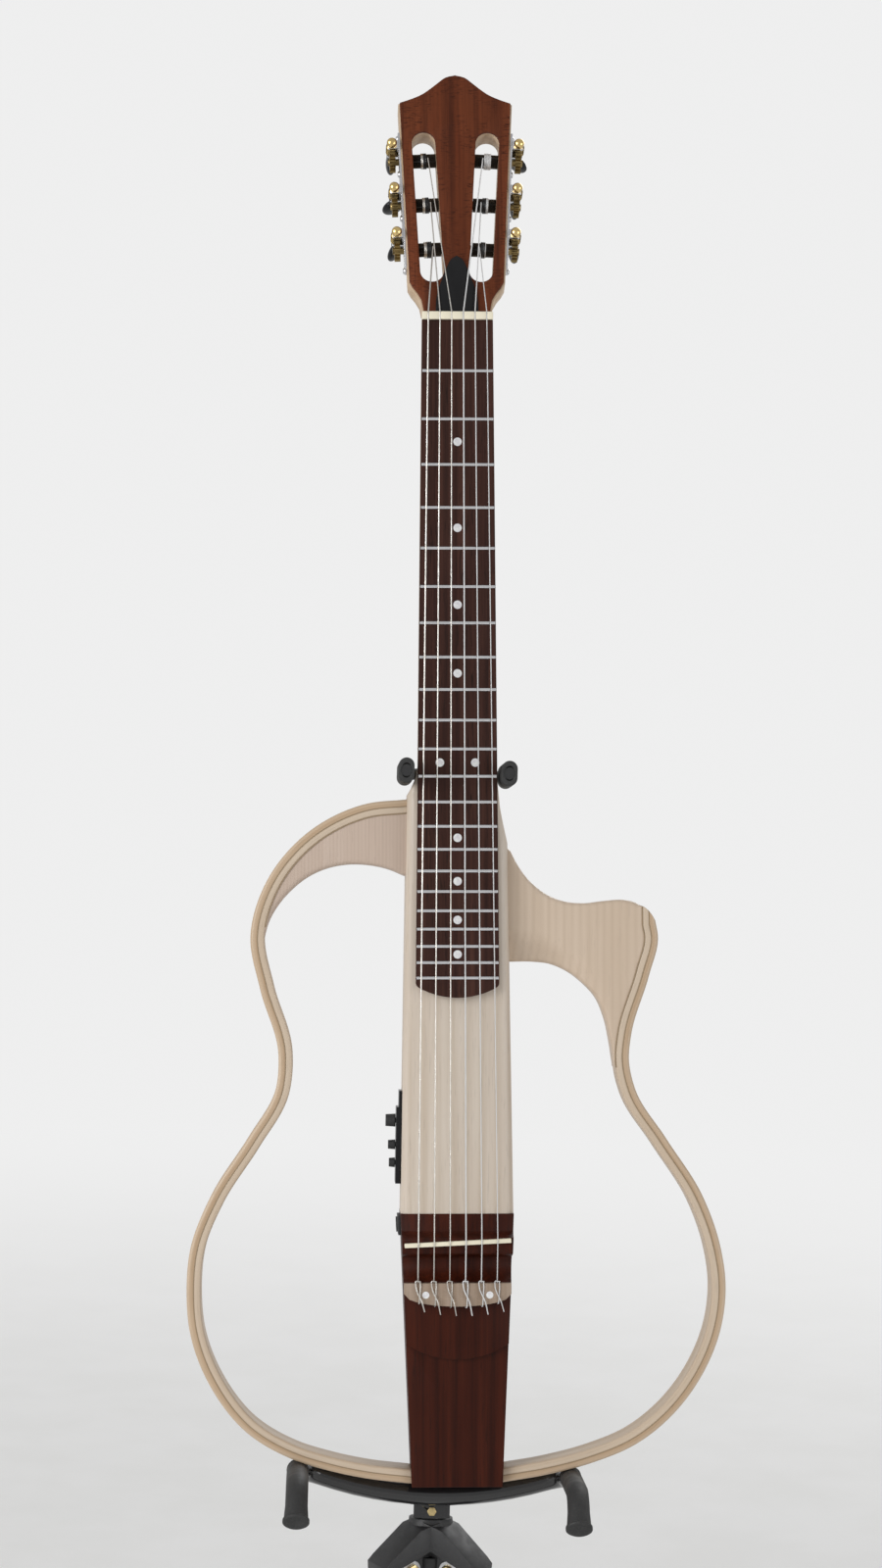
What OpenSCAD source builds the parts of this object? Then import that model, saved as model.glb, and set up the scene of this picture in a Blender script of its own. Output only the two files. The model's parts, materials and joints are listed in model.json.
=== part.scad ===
// Skeleton-body classical guitar resting on a folding tripod guitar stand.
// Millimetres. X to the player's right as seen from the front, Y to the back, Z up.

/* [Strings and neck] */
// String length from nut to saddle
scale_len = 650; // [640:1:660]
// Number of frets
fret_count = 22; // [20:1:22]
// Fretboard width at the nut
nut_w = 50.5; // [48:0.5:53]
// Fretboard width at its last fret
board_end_w = 59; // [56:0.5:62]
// Fretboard thickness
board_t = 6.5; // [5.5:0.1:7.5]
// Neck depth behind the fretboard at the nut
neck_depth = 20.5; // [18:0.5:23]
// Fret crown height
fret_h = 1.1; // [0.8:0.1:1.4]
// Outer string spacing at the nut
string_span_nut = 41.5; // [39:0.5:44]
// Outer string spacing at the saddle
string_span_saddle = 55.8; // [54:0.2:58]
// Height of the string centres in front of the neck plane at the nut
string_y_nut = 8.7; // [8.4:0.1:9.4]
// Height of the string centres in front of the neck plane at the saddle
string_y_saddle = 15; // [14:0.2:16]

/* [Headstock] */
// Backward tilt of the headstock
head_tilt = 12; // [9:0.5:14]
// Headstock thickness with its face veneer
head_t = 21; // [19:0.5:23]
// Thickness of the face veneer
veneer_t = 3; // [2:0.5:4]
// Width of the two string slots
slot_w = 17; // [16.4:0.2:17.6]
// Roller barrel diameter
roller_d = 10; // [9:0.5:10.5]
// Distance between neighbouring tuner rollers
tuner_pitch = 34.4; // [33:0.1:35]
// Height of the lowest roller above the nut
tuner_first = 57.8; // [57:0.2:59]
// Gear tooth module of the worm drives
gear_mod = 1; // [0.95:0.01:1]

/* [Body] */
// Overall width of the body across the lower bout
body_w = 382; // [370:1:400]
// Depth of the centre beam
beam_depth = 45; // [42:1:46]
// Width of the centre beam at the tail block
beam_w = 80; // [78:0.5:82]
// Width of the tail block at the bottom
tail_w = 64; // [58:1:70]
// Thickness of the outer rim lamination
outer_ply_t = 5.2; // [4:0.2:6]
// Thickness of the inner rim lamination
inner_ply_t = 4.8; // [4:0.2:6]
// Depth of the rim from front to back
rim_depth = 30; // [26:1:32]
// Set-back of the rim behind the beam's front face
rim_back = 6; // [4:0.5:8]

/* [Stand] */
// Backward lean of mast and guitar
lean = 8; // [6:0.5:10]
// Sideways roll of the guitar against the mast
roll = 1.8; // [1.4:0.1:2.2]
// Height of the leg hinges above the floor
hub_h = 150; // [145:1:160]
// Length of a leg from hinge to foot ball
leg_len = 392; // [380:1:410]
// Outer diameter of the mast tube
mast_d = 24.5; // [23.5:0.1:25]
// Outer diameter of the sliding neck post
post_d = 20; // [19:0.1:20.5]
// Outer diameter of the leg tubes
leg_d = 13; // [12:0.2:14]
// Distance between the two cradle arms
arm_span = 194; // [180:1:200]
// Outer diameter of the cradle arm sleeves
arm_d = 15.5; // [14.5:0.1:16]
// Outer diameter of the cradle cross member
cross_d = 16; // [15:0.2:17]

/* [Hidden] */

// clearances: running pins, sliding tubes, glued touches between bodies, curved neighbours
run = 0.06;
slide = 0.1;
near = 0.3;
eps = 0.01;
fine = 48;
mid = 32;
low = 16;

// ---- curve helpers ------------------------------------------------------------------------
// Unit or weighted tangent of a point row, from the chords on both sides
function tangent(p, i) =
    let (n = len(p) - 1)
    i == 0 ? (p[1] - p[0]) / norm(p[1] - p[0]) :
    i == n ? (p[n] - p[n - 1]) / norm(p[n] - p[n - 1]) :
    let (a = norm(p[i] - p[i - 1]), b = norm(p[i + 1] - p[i]))
    ((p[i] - p[i - 1]) / a * b + (p[i + 1] - p[i]) / b * a) / (a + b);
// Point at share t of span i of the smooth curve
function curve_at(p, i, t) =
    let (h = norm(p[i + 1] - p[i]), m0 = tangent(p, i) * h, m1 = tangent(p, i + 1) * h)
    (2 * t ^ 3 - 3 * t ^ 2 + 1) * p[i] + (t ^ 3 - 2 * t ^ 2 + t) * m0
    + (3 * t ^ 2 - 2 * t ^ 3) * p[i + 1] + (t ^ 3 - t ^ 2) * m1;
// Smooth curve through all points with n steps a span
function curve(p, n) =
    [for (i = [0 : len(p) - 2]) for (k = [0 : n - 1]) curve_at(p, i, k / n), p[len(p) - 1]];
// Left-hand normal of a polyline at point i
function normal_at(c, i) =
    let (n = len(c) - 1, d = c[min(i + 1, n)] - c[max(i - 1, 0)], e = d / norm(d)) [-e[1], e[0]];
// Polyline moved sideways by d
function shifted(c, d) = [for (i = [0 : len(c) - 1]) c[i] + normal_at(c, i) * d];
// Points from body (u right, s down from the nut) to drawing coordinates (x, z)
function flip(c) = [for (p = c) [p[0], -p[1]]];
function mirrored(c) = [for (p = c) [-p[0], p[1]]];
function reversed(c) = [for (i = [len(c) - 1 : -1 : 0]) c[i]];
// Linear value between two stations
function between(x, x0, v0, x1, v1) = v0 + (v1 - v0) * (x - x0) / (x1 - x0);

// ---- shape helpers ------------------------------------------------------------------------
// Closed solid through equal rings of points; each ring runs counter-clockwise seen along
// the direction in which the rings advance when side is 1, clockwise when side is -1
module loft(rings, side = 1) {
    n = len(rings);
    m = len(rings[0]);
    points = [for (r = rings) each r];
    walls = [for (i = [0 : n - 2]) for (j = [0 : m - 1])
        let (a = i * m + j, b = i * m + (j + 1) % m) each [[a, b, b + m], [a, b + m, a + m]]];
    first = [for (j = [m - 1 : -1 : 0]) j];
    last = [for (j = [0 : m - 1]) (n - 1) * m + j];
    faces = concat(walls, [first], [last]);
    turned = [for (f = faces) reversed(f)];
    polyhedron(points, side == 1 ? turned : faces, convexity = 10);
}
// Plate with an (x, z) outline between two depths y0 and y1
module slab(y0, y1) {
    translate([0, y1, 0]) rotate([90, 0, 0]) linear_extrude(y1 - y0) children();
}
// Bar with a (y, z) profile between x0 and x1
module across(x0, x1) {
    translate([x0, 0, 0]) rotate([90, 0, 90]) linear_extrude(x1 - x0) children();
}
// Round rod between two points
module rod(a, b, r, facets = 8) {
    d = b - a;
    translate(a) rotate([0, acos(d[2] / norm(d)), atan2(d[1], d[0])])
        cylinder(r = r, h = norm(d), $fn = facets);
}
// Pipe with a bore, along z
module pipe(r_out, r_in, h) {
    difference() {
        cylinder(r = r_out, h = h, $fn = fine);
        translate([0, 0, -1]) cylinder(r = r_in, h = h + 2, $fn = fine);
    }
}
// Cylinder along y from y0 to y1
module along_y(r, y0, y1, facets = mid) {
    translate([0, y0, 0]) rotate([-90, 0, 0]) cylinder(r = r, h = y1 - y0, $fn = facets);
}
// Cylinder along x from x0 to x1
module along_x(r, x0, x1, facets = mid) {
    translate([x0, 0, 0]) rotate([0, 90, 0]) cylinder(r = r, h = x1 - x0, $fn = facets);
}

// ---- placement ----------------------------------------------------------------------------
// Shift that puts the origin on the floor under the middle of the whole object
row_shift = [0, -96, 0];
mast_gap = 63.5;
rest_s = 326;
nut_z = 891;
rest_x = -rest_s * sin(roll);

module row() {
    translate(row_shift) children();
}
// Frame of the leaning mast, origin on its axis at hinge height
module mast_frame() {
    row() translate([0, 0, hub_h]) rotate([-lean, 0, 0]) children();
}
// Frame of the guitar, origin at the nut on the neck plane, z up the neck
module guitar() {
    mast_frame() translate([rest_x, -mast_gap, nut_z]) rotate([0, -roll, 0]) children();
}
// Frame of the headstock face, z up the headstock
module head() {
    guitar() rotate([-head_tilt, 0, 0]) children();
}

// ---- guitar outlines (u to the right, s down from the nut) --------------------------------
board_end_s = 481.6;
board_corner_s = 473.3;
beam_start = 318;
tail_start = 634;
tail_end = 826;
tail_drop = 3.5;
rim_front = rim_back;
rim_rear = rim_back + rim_depth;
ply_t = outer_ply_t + inner_ply_t;

// Body half width follows body_w outside the beam
widen = (body_w / 2 - 40) / 151;
function spread(c) = [for (p = c) abs(p[0]) <= 40 ? p :
    [sign(p[0]) * (40 + (abs(p[0]) - 40) * widen), p[1]]];

// Half widths of the beam and of the tail block at station s
function beam_l(s) = between(s, 338, beam_w / 2 - 4.5, tail_start, beam_w / 2);
function beam_r(s) = between(s, 372, beam_w / 2 - 4.1, tail_start, beam_w / 2);
function tail_half(s) = between(s, tail_start, beam_w / 2, tail_end, tail_w / 2);

left_line = curve(spread([[-36, 341], [-64, 344], [-104, 363], [-135, 399], [-146.5, 438],
    [-139.5, 476], [-126.5, 522], [-128.5, 547], [-148, 581.5], [-174, 622], [-188, 657],
    [-191, 690], [-188.5, 718], [-175, 754], [-148.5, 788], [-117, 806.6],
    [-92, 814.6], [-64, 820.6], [-32, 824.4]]), 4);
right_line = curve(spread([[141.6, 427.5], [143.4, 438], [137, 466], [124, 509], [122.5, 526],
    [127, 547], [148.4, 581], [174.5, 622], [187, 657], [191, 686], [187, 718], [172, 752.5],
    [153.5, 776.5], [127, 797.5], [96, 810.4], [64, 818.6], [32, 823.8]]), 4);
cutaway = curve(spread([[38, 377], [42.5, 386], [53, 400], [65, 409], [77, 413.5], [90.7, 414.7],
    [106, 413], [118, 412.2], [126, 413.5]]), 4);
left_hollow = curve(spread([[-36.4, 395.6], [-47, 391], [-62, 387.6], [-75, 387], [-91, 389.6],
    [-105.5, 396], [-117.5, 405.5], [-127, 416.5], [-132.4, 428]]), 3);
right_hollow = curve(spread([[37.2, 456.5], [54.5, 456.5], [66.6, 458], [78.6, 463],
    [90.6, 472], [99.6, 482], [105.6, 496], [109.6, 514], [112.2, 530]]), 3);

// ---- neck, board and head -----------------------------------------------------------------
board_pitch = (board_end_w - nut_w) / 2 / 467.6;
function board_half(s) = nut_w / 2 + s * board_pitch;
function fret_s(n) = scale_len * (1 - pow(2, -n / 12));

// Section of neck or beam at station s: half widths, depth, front and back edge radii
function neck_ring(s, wl, wr, depth, rl, rr, bx, by) = [
    for (a = [-90 : 30 : 0]) [wr - rr + rr * cos(a), rr + rr * sin(a), -s],
    for (a = [0 : 22.5 : 90]) [wr - bx + bx * cos(a), depth - by + by * sin(a), -s],
    for (a = [90 : 22.5 : 180]) [bx - wl + bx * cos(a), depth - by + by * sin(a), -s],
    for (a = [180 : 30 : 270]) [rl - wl + rl * cos(a), rl + rl * sin(a), -s]];
neck_end_w = board_half(beam_start);

module neck() {
    color([0.9, 0.8, 0.65]) guitar() loft([
        for (s = [-nut_t, 0, 20, 60, 120, 180, 240, 290, beam_start])
            let (w = board_half(max(s, 0)), d = neck_depth + 0.005 * s)
            neck_ring(s, w, w, d, 0.4, 0.4, w * 0.88, d * 0.8)], -1);
}

head_low = nut_w / 2 - 0.2;
head_line = [[head_low, -12], [head_low, 10], [26.4, 17], [29.2, 22], [32.4, 26], [34.8, 30.4],
    [41.3, 168.8]];
crown = curve([[41.3, 168.8], [33, 171.8], [25, 175.6], [19.5, 179.6], [14, 184.2], [8, 188.9],
    [0, 190.8]], 3);
head_side = concat(head_line, [for (i = [1 : len(crown) - 1]) crown[i]]);
side_slope = atan((41.3 - 34.8) / (168.8 - 30.4));
function head_half(z) = between(z, 30.4, 34.8, 168.8, 41.3);
slot_low = 38.8;
slot_high = 137.9;
function slot_x(z) = between(z, slot_low, 17.6, slot_high, 23.1);

module head_outline(inset = 0) {
    trim = [for (p = head_side) [max(p[0] - inset, 0), p[1]]];
    polygon(concat(trim, reversed([for (p = trim) [-p[0], p[1]]])));
}
module slot_outline() {
    for (m = [0, 1]) mirror([m, 0]) hull() {
        translate([slot_x(slot_low), slot_low]) circle(d = slot_w, $fn = fine);
        translate([slot_x(slot_high), slot_high]) circle(d = slot_w, $fn = fine);
    }
}
// Everything below the nut's upper edge, cut off the headstock
module below_nut(z) {
    guitar() translate([-60, -40, z - 100]) cube([120, 120, 100]);
}
tuner_z = [for (i = [0 : 5]) tuner_first + tuner_pitch * (i % 3)];
roller_y = 10;
axle_d = 5;
// Frame at a tuner: origin on the roller axis at the headstock side, x outward, z up the side
module at_tuner(i) {
    z = tuner_z[i];
    head() mirror([i < 3 ? 1 : 0, 0, 0])
        translate([head_half(z), roller_y, z]) rotate([0, side_slope, 0]) children();
}
slot_out = -(head_half(80) - slot_x(80) - slot_w / 2);
slot_in = slot_out - slot_w;
pin_deep = 6;

module headstock() {
    color([0.85, 0.68, 0.45]) difference() {
        head() slab(veneer_t, head_t) difference() {
            head_outline();
            slot_outline();
        }
        below_nut(nut_t);
        for (i = [0 : 5]) at_tuner(i) {
            along_x(roller_d / 2 + run, slot_out - 4, 5);
            along_x(3 + run, slot_in - pin_deep - 0.5, slot_in + 3);
        }
    }
}
module headstock_veneer() {
    color([0.45, 0.2, 0.12]) difference() {
        head() slab(0, veneer_t) difference() {
            head_outline(1.1);
            slot_outline();
        }
        below_nut(nut_t);
    }
}
nut_t = 5.6;
nut_high = string_y_nut + 0.5;
module nut() {
    color([0.93, 0.9, 0.8]) guitar() difference() {
        translate([-nut_w / 2, -nut_high, 0.0]) cube([nut_w, nut_high, nut_t]);
        for (i = [0 : 5]) translate([nut_x(i) - string_r[i] - 0.05, -20, -1])
            cube([string_r[i] * 2 + 0.1, 20 - string_y_nut + string_r[i], nut_t + 2]);
        translate([-nut_w, -nut_high, nut_t]) rotate([25, 0, 0]) translate([0, -10, 0])
            cube([nut_w * 2, 20, 10]);
    }
}
module fretboard() {
    arc_r = (pow(board_end_w / 2, 2) + pow(board_end_s - board_corner_s, 2))
        / (2 * (board_end_s - board_corner_s));
    half_a = asin(board_end_w / 2 / arc_r);
    end_arc = [for (a = [-half_a : half_a / 6 : half_a + 0.01])
        [arc_r * sin(a), -(board_end_s - arc_r + arc_r * cos(a))]];
    color([0.25, 0.13, 0.09]) guitar() difference() {
        slab(-board_t, 0) intersection() {
            offset(r = 4, $fn = mid) offset(delta = -4)
                polygon(concat([[board_half(-20), 20], [-board_half(-20), 20]], end_arc));
            translate([-50, -500]) square([100, 500]);
        }
        for (n = [1 : fret_count]) translate([-40, -board_t - 1, -fret_s(n) - 0.3])
            cube([80, 3.2, 0.6]);
        dot_places(-board_t - 1, 0.2 - board_t + dot_t, 3.02);
    }
}
fret_profile = [for (a = [0 : 30 : 180]) [-fret_h * sin(a), 1.25 * cos(a)]];
module frets() {
    color([0.85, 0.85, 0.87]) guitar() for (n = [1 : fret_count]) {
        s = fret_s(n);
        w = board_half(s) - 0.5;
        translate([0, -board_t, -s]) across(-w, w)
            polygon(concat(fret_profile, [[0, -0.28], [2.1, -0.28], [2.1, 0.28], [0, 0.28]]));
    }
}
dot_t = 1.6;
dot_frets = [3, 5, 7, 9, 15, 17, 19, 21];
function dot_s(n) = (fret_s(n) + fret_s(n - 1)) / 2;
module dot_places(y0, y1, r) {
    for (n = dot_frets) if (n <= fret_count)
        translate([0, 0, -dot_s(n)]) along_y(r, y0, y1);
    for (x = [-12.5, 12.5]) translate([x, 0, -dot_s(12)]) along_y(r, y0, y1);
}
tie_dots = [[-22.5, 690.2], [22.5, 690.2]];
module inlay_dots() {
    color([0.95, 0.95, 0.93]) guitar() {
        dot_places(-board_t, -board_t + dot_t, 3);
        for (p = tie_dots) translate([p[0], 0, -p[1]]) along_y(2.5, -tie_front, -tie_front + 1.5);
    }
}
cover_side = [[15.3, 6.2], [15, 15], [13, 25], [10.8, 31], [8.8, 36.5], [6.6, 42], [4.2, 46.6],
    [0, 49.6]];
module truss_rod_cover() {
    line = curve(cover_side, 3);
    color([0.05, 0.05, 0.05]) difference() {
        head() slab(-1.8, 0) polygon(concat(line, reversed([for (p = line) [-p[0], p[1]]])));
        below_nut(nut_t);
    }
}

// ---- tuning machines ----------------------------------------------------------------------
// One-start worm of pitch PI * gear_mod running on a fourteen-tooth gear
gear_teeth = 14;
gear_r = gear_mod * gear_teeth / 2;
worm_pitch = PI * gear_mod;
worm_mean = 3.25 * gear_mod;
worm_wave = 0.95 * gear_mod;
worm_shaft = 1.9;
plate_t = 1.5;
gear_w = 4.2;
gear_x = 6.2;
worm_up = gear_r + 3.5 * gear_mod;
worm_len = 3.5 * worm_pitch;
bearing_y = [-8.5, 6.2];
bearing_w = 2;
button_turn = [50, 20, 85, 80, 90, 30];

module tuner_plates() {
    color([0.8, 0.8, 0.82]) {
        for (side = [0, 1]) difference() {
            union() {
                at_tuner(side * 3 + 1) translate([0, -7, -tuner_pitch - 15.5])
                    cube([plate_t, 14.5, 2 * tuner_pitch + 35.5]);
                for (k = [0 : 2]) at_tuner(side * 3 + k) translate([plate_t - 0.2, 0, worm_up])
                    for (y = bearing_y) translate([0, y, -3.4])
                        cube([gear_x + 1.6, bearing_w, 6.8]);
            }
            for (k = [0 : 2]) at_tuner(side * 3 + k) {
                along_x(axle_d / 2 + run, -1, plate_t + 1);
                translate([gear_x, 0, worm_up]) along_y(worm_shaft + run, -12, 12);
            }
        }
    }
}
// Screws hold each plate to the headstock side, between and beyond the gears
module tuner_screws() {
    color([0.75, 0.75, 0.78]) for (side = [0, 1]) for (k = [-1.45, -0.27, 0.73, 1.53])
        at_tuner(side * 3 + 1) translate([plate_t, 0.5, k * tuner_pitch]) difference() {
            rotate([0, 90, 0]) cylinder(r1 = 2.6, r2 = 1.7, h = 1.3, $fn = mid);
            translate([0.7, -3, -0.35]) cube([1, 6, 0.7]);
        }
}
module worm(i) {
    color([0.78, 0.6, 0.28]) at_tuner(i) translate([gear_x, 0, worm_up]) {
        translate([0, worm_len / 2, 0]) rotate([90, 0, 0])
            linear_extrude(worm_len, twist = -360 * worm_len / worm_pitch,
                slices = 35, $fn = 12)
            translate([worm_wave, 0]) circle(r = worm_mean);
        y_low = bearing_y[0];
        y_high = bearing_y[1] + bearing_w;
        along_y(worm_shaft, y_low - 1.2, -worm_len / 2);
        along_y(worm_shaft, worm_len / 2, y_high + 8.5);
        along_y(2.9, y_low - 0.8, y_low - near / 2);
        translate([0, y_low - 2.6, 0]) rotate([-90, 0, 0]) rotate_extrude($fn = mid)
            polygon([for (a = [-90 : 15 : 50]) [3.7 * cos(a), 3.7 * sin(a) * 0.9], [0, 2.8]]);
        along_y(3, y_high + near / 2, y_high + 2.6);
    }
}
module button(i) {
    color([0.05, 0.05, 0.05]) at_tuner(i)
        translate([gear_x, bearing_y[1] + bearing_w + 16, worm_up]) rotate([0, button_turn[i], 0]) {
        difference() {
            union() {
                scale([8.6, 10.2, 3.9]) sphere(r = 1, $fn = 20);
                along_y(3.4, -13, -6);
            }
            along_y(worm_shaft + 0.03, -14, -7.5);
        }
    }
}
gear_profile = [for (k = [0 : gear_teeth - 1]) for (e = [[-0.3, 5.7], [-0.19, 6.1], [-0.08, 7.65],
    [0.08, 7.65], [0.19, 6.1], [0.3, 5.7]])
    let (a = 360 / gear_teeth * (k + e[0])) gear_mod * e[1] * [cos(a), sin(a)]];
gear_phase = 360 / gear_teeth * 0.5;
module roller(i) {
    at_tuner(i) {
        color([0.06, 0.06, 0.06]) {
            along_x(roller_d / 2, slot_in + 0.5, -near);
            along_x(3, slot_in - pin_deep, slot_in + 0.6);
        }
        color([0.82, 0.68, 0.35]) {
            along_x(axle_d / 2, -near, gear_x - gear_w / 2);
            along_x(axle_d / 2, gear_x + gear_w / 2, gear_x + gear_w / 2 + 1.2);
            translate([gear_x - gear_w / 2, 0, 0]) rotate([0, 90, 0]) rotate([0, 0, gear_phase])
                linear_extrude(gear_w) polygon(gear_profile);
        }
        // string turns wound on the barrel
        color([0.8, 0.78, 0.72]) for (k = [0 : 2])
            translate([wound_x[i] + k * (2 * string_r[i] + 0.02), 0, 0]) rotate([0, 90, 0])
                rotate_extrude($fn = mid) translate([roller_d / 2 + string_r[i] - 0.03, 0])
                    circle(r = string_r[i], $fn = 16);
    }
}
wound_x = [-18, -18, -18, -18, -18, -18];

// ---- strings ------------------------------------------------------------------------------
string_r = [0.55, 0.46, 0.4, 0.5, 0.42, 0.36];
function nut_x(i) = string_span_nut * (i / 5 - 0.5);
function saddle_x(i) = string_span_saddle * (i / 5 - 0.5);
// Tuner that each string, from bass to treble, is wound on
string_tuner = [0, 1, 2, 5, 4, 3];
tuner_string = [0, 1, 2, 5, 4, 3];
// Headstock frame point (x, y, z) to guitar frame
function head_point(p) = [p[0], p[1] * cos(head_tilt) + p[2] * sin(head_tilt),
    p[2] * cos(head_tilt) - p[1] * sin(head_tilt)];
saddle_s = 653.6;
saddle_slope = 2.7;
saddle_front = string_y_saddle - 0.6;
tie_front = 9;
tie_back = 3.5;
tie_s = 682;
function saddle_station(x) = saddle_s - x * tan(saddle_slope);
module string_path(i) {
    r = string_r[i];
    t = string_tuner[i];
    side = t < 3 ? -1 : 1;
    xs = saddle_x(i);
    wind = side * (head_half(tuner_z[t]) + (wound_x[t] - 1.4));
    at_roller = head_point([wind, roller_y - roller_d / 2 - r - near, tuner_z[t] + 1]);
    at_nut = [nut_x(i), -string_y_nut, nut_t - 0.3];
    at_saddle = [xs, -string_y_saddle, -saddle_station(xs)];
    at_tie = [xs, -6.2, -tie_s + 0.2];
    end_z = -tie_end(xs);
    thread([at_roller, at_nut, at_saddle, at_tie, [xs, -6.2, end_z - 0.8],
        [xs + 0.8, -tie_front - r - 0.2, end_z - 0.9], [xs + 1.6, -tie_front - r - 0.2, -tie_s - 2],
        [xs + 1.2, -tie_front - r - 0.5, -tie_s + 1.6]], r);
    thread([[xs + 1.8, -tie_front - r - 0.6, -tie_s + 1.2], [xs - 1.5, -tie_front - 1.6, -tie_s + 1.6],
        [xs - 1.6, -tie_front - r - 0.6, -tie_s - 2.6], [xs + 2.6, -tie_front - r - 1.6, -tie_s - 13],
        [xs + 4.6, -tie_front + 0.2, end_z - 6.5]], r);
}
// Round thread through a row of points that never runs sideways, with six-sided sections
function thread_ring(p, d, r, open) =
    let (e1 = [1, 0, 0] - d[0] * d, u = e1 / norm(e1), v = cross(d, u))
    [for (a = [0 : 60 : 300]) p + r * (u * cos(a) + v * sin(a) * open)];
module thread(p, r) {
    n = len(p) - 1;
    dirs = [for (i = [0 : n - 1]) (p[i + 1] - p[i]) / norm(p[i + 1] - p[i])];
    loft([for (i = [0 : n])
        let (a = dirs[max(i - 1, 0)], b = dirs[min(i, n - 1)], m = (a + b) / norm(a + b))
        thread_ring(p[i], m, r, min(1 / max(a * m, 0.3), 1.6))], 1);
}
function tie_end(x) = 689.5 + 8.8 * sqrt(max(0, 1 - pow(x / 38, 2)));
module bass_strings() {
    color([0.78, 0.76, 0.7]) guitar() for (i = [0 : 2]) string_path(i);
}
module treble_strings() {
    color([0.9, 0.9, 0.9]) guitar() for (i = [3 : 5]) string_path(i);
}

// ---- centre beam, wings and rim -----------------------------------------------------------
module centre_beam() {
    h = neck_end_w;
    color([0.93, 0.86, 0.74]) guitar() difference() {
        loft([
            neck_ring(beam_start, h, h, neck_depth + 1.59, 0.4, 0.4, h * 0.88, neck_depth * 0.8),
            neck_ring(326, h + 1.4, h + 0.3, 26, 1.5, 0.6, 18, 15),
            neck_ring(333, h + 4.4, h + 0.9, 32, 3, 1, 15, 14),
            neck_ring(338, beam_l(338), h + 1.4, 37, 5, 1.6, 12, 12),
            neck_ring(347, beam_l(347), h + 2.4, 42, 6, 2.6, 9, 9),
            neck_ring(358, beam_l(358), h + 4.6, beam_depth, 6, 4, 8, 8),
            neck_ring(372, beam_l(372), beam_r(372), beam_depth, 6, 6, 8, 8),
            neck_ring(tail_start, beam_l(tail_start), beam_r(tail_start), beam_depth,
                6, 6, 8, 8)], -1);
        preamp_frame() along_x(14, -4, 12, fine);
    }
}
wing_front = rim_front + 0.4;
wing_rear = rim_rear - 2;
module left_wing() {
    inner = shifted(left_line, -ply_t);
    keep = [for (i = [1 : 17]) inner[i]];
    first = [-beam_l(341 + ply_t), 341 + ply_t];
    color([0.9, 0.82, 0.68]) guitar() slab(wing_front, wing_rear)
        polygon(flip(concat([first], keep, reversed(hollow_from_beam(left_hollow, -1)))));
}
// The hollow's edge with its first point placed on the beam's side
function hollow_from_beam(c, side) =
    [for (i = [0 : len(c) - 1]) i > 0 ? c[i] :
        [side * (side < 0 ? beam_l(c[0][1]) : beam_r(c[0][1])), c[0][1]]];
module right_wing() {
    inner = shifted(right_line, ply_t);
    keep = [for (i = [1 : 16]) inner[i]];
    top = concat([[beam_r(374), 374]], cutaway);
    color([0.88, 0.78, 0.62]) guitar() slab(wing_front, wing_rear)
        polygon(flip(concat(top, [right_start(ply_t)], keep,
            reversed(hollow_from_beam(right_hollow, 1)))));
}
// Horn end of the right-hand laminations: station where a layer at depth d is cut
function right_start(d) = let (p = right_line[0]) [p[0] - d * 0.97, p[1] - 1.3 * d
    + 0.022 * d * d];
// Sections of one lamination: d0 and d1 below the outer line, arris radii on each edge
function ply_ring(c, i, d0, d1, r0, r1, side) =
    let (n = normal_at(c, i) * side, p = c[i])
    [for (e = [[0, r0, 0], [r0 * 0.3, r0 * 0.3, 0], [r0, 0, 0], [d1 - d0 - r1, 0, 0],
        [d1 - d0 - r1 * 0.3, r1 * 0.3, 0], [d1 - d0, r1, 0], [d1 - d0, r1, 1],
        [d1 - d0 - r1 * 0.3, r1 * 0.3, 1], [d1 - d0 - r1, 0, 1], [r0, 0, 1],
        [r0 * 0.3, r0 * 0.3, 1], [0, r0, 1]])
        let (q = p + n * (d0 + e[0]))
        [q[0], e[2] == 0 ? rim_front + e[1] : rim_rear - e[1], -q[1]]];
// End sections are slid along the path so that they lie on the given cut
function placed(ring, cut) = [for (p = ring) let (q = cut([p[0], -p[2]])) [q[0], p[1], -q[1]]];
module ply(d0, d1, r0, r1) {
    nl = len(left_line) - 1;
    nr = len(right_line) - 1;
    loft([for (i = [0 : nl]) let (ring = ply_ring(left_line, i, d0, d1, r0, r1, -1))
        i == 0 ? placed(ring, function(p) [-beam_l(p[1]), p[1]]) :
        i == nl ? placed(ring, function(p) [-tail_half(p[1]), p[1]]) : ring], -1);
    loft([for (i = [0 : nr]) let (ring = ply_ring(right_line, i, d0, d1, r0, r1, 1))
        i == 0 ? placed(ring, function(p) right_start(norm(p - right_line[0]))) :
        i == nr ? placed(ring, function(p) [tail_half(p[1]), p[1]]) : ring], 1);
}
module rim_outer_ply() {
    color([0.8, 0.62, 0.4]) guitar() ply(0, outer_ply_t, 2.2, 0.2);
}
module rim_inner_ply() {
    color([0.9, 0.8, 0.62]) guitar() ply(outer_ply_t, ply_t, 0.2, 1.6);
}

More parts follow.
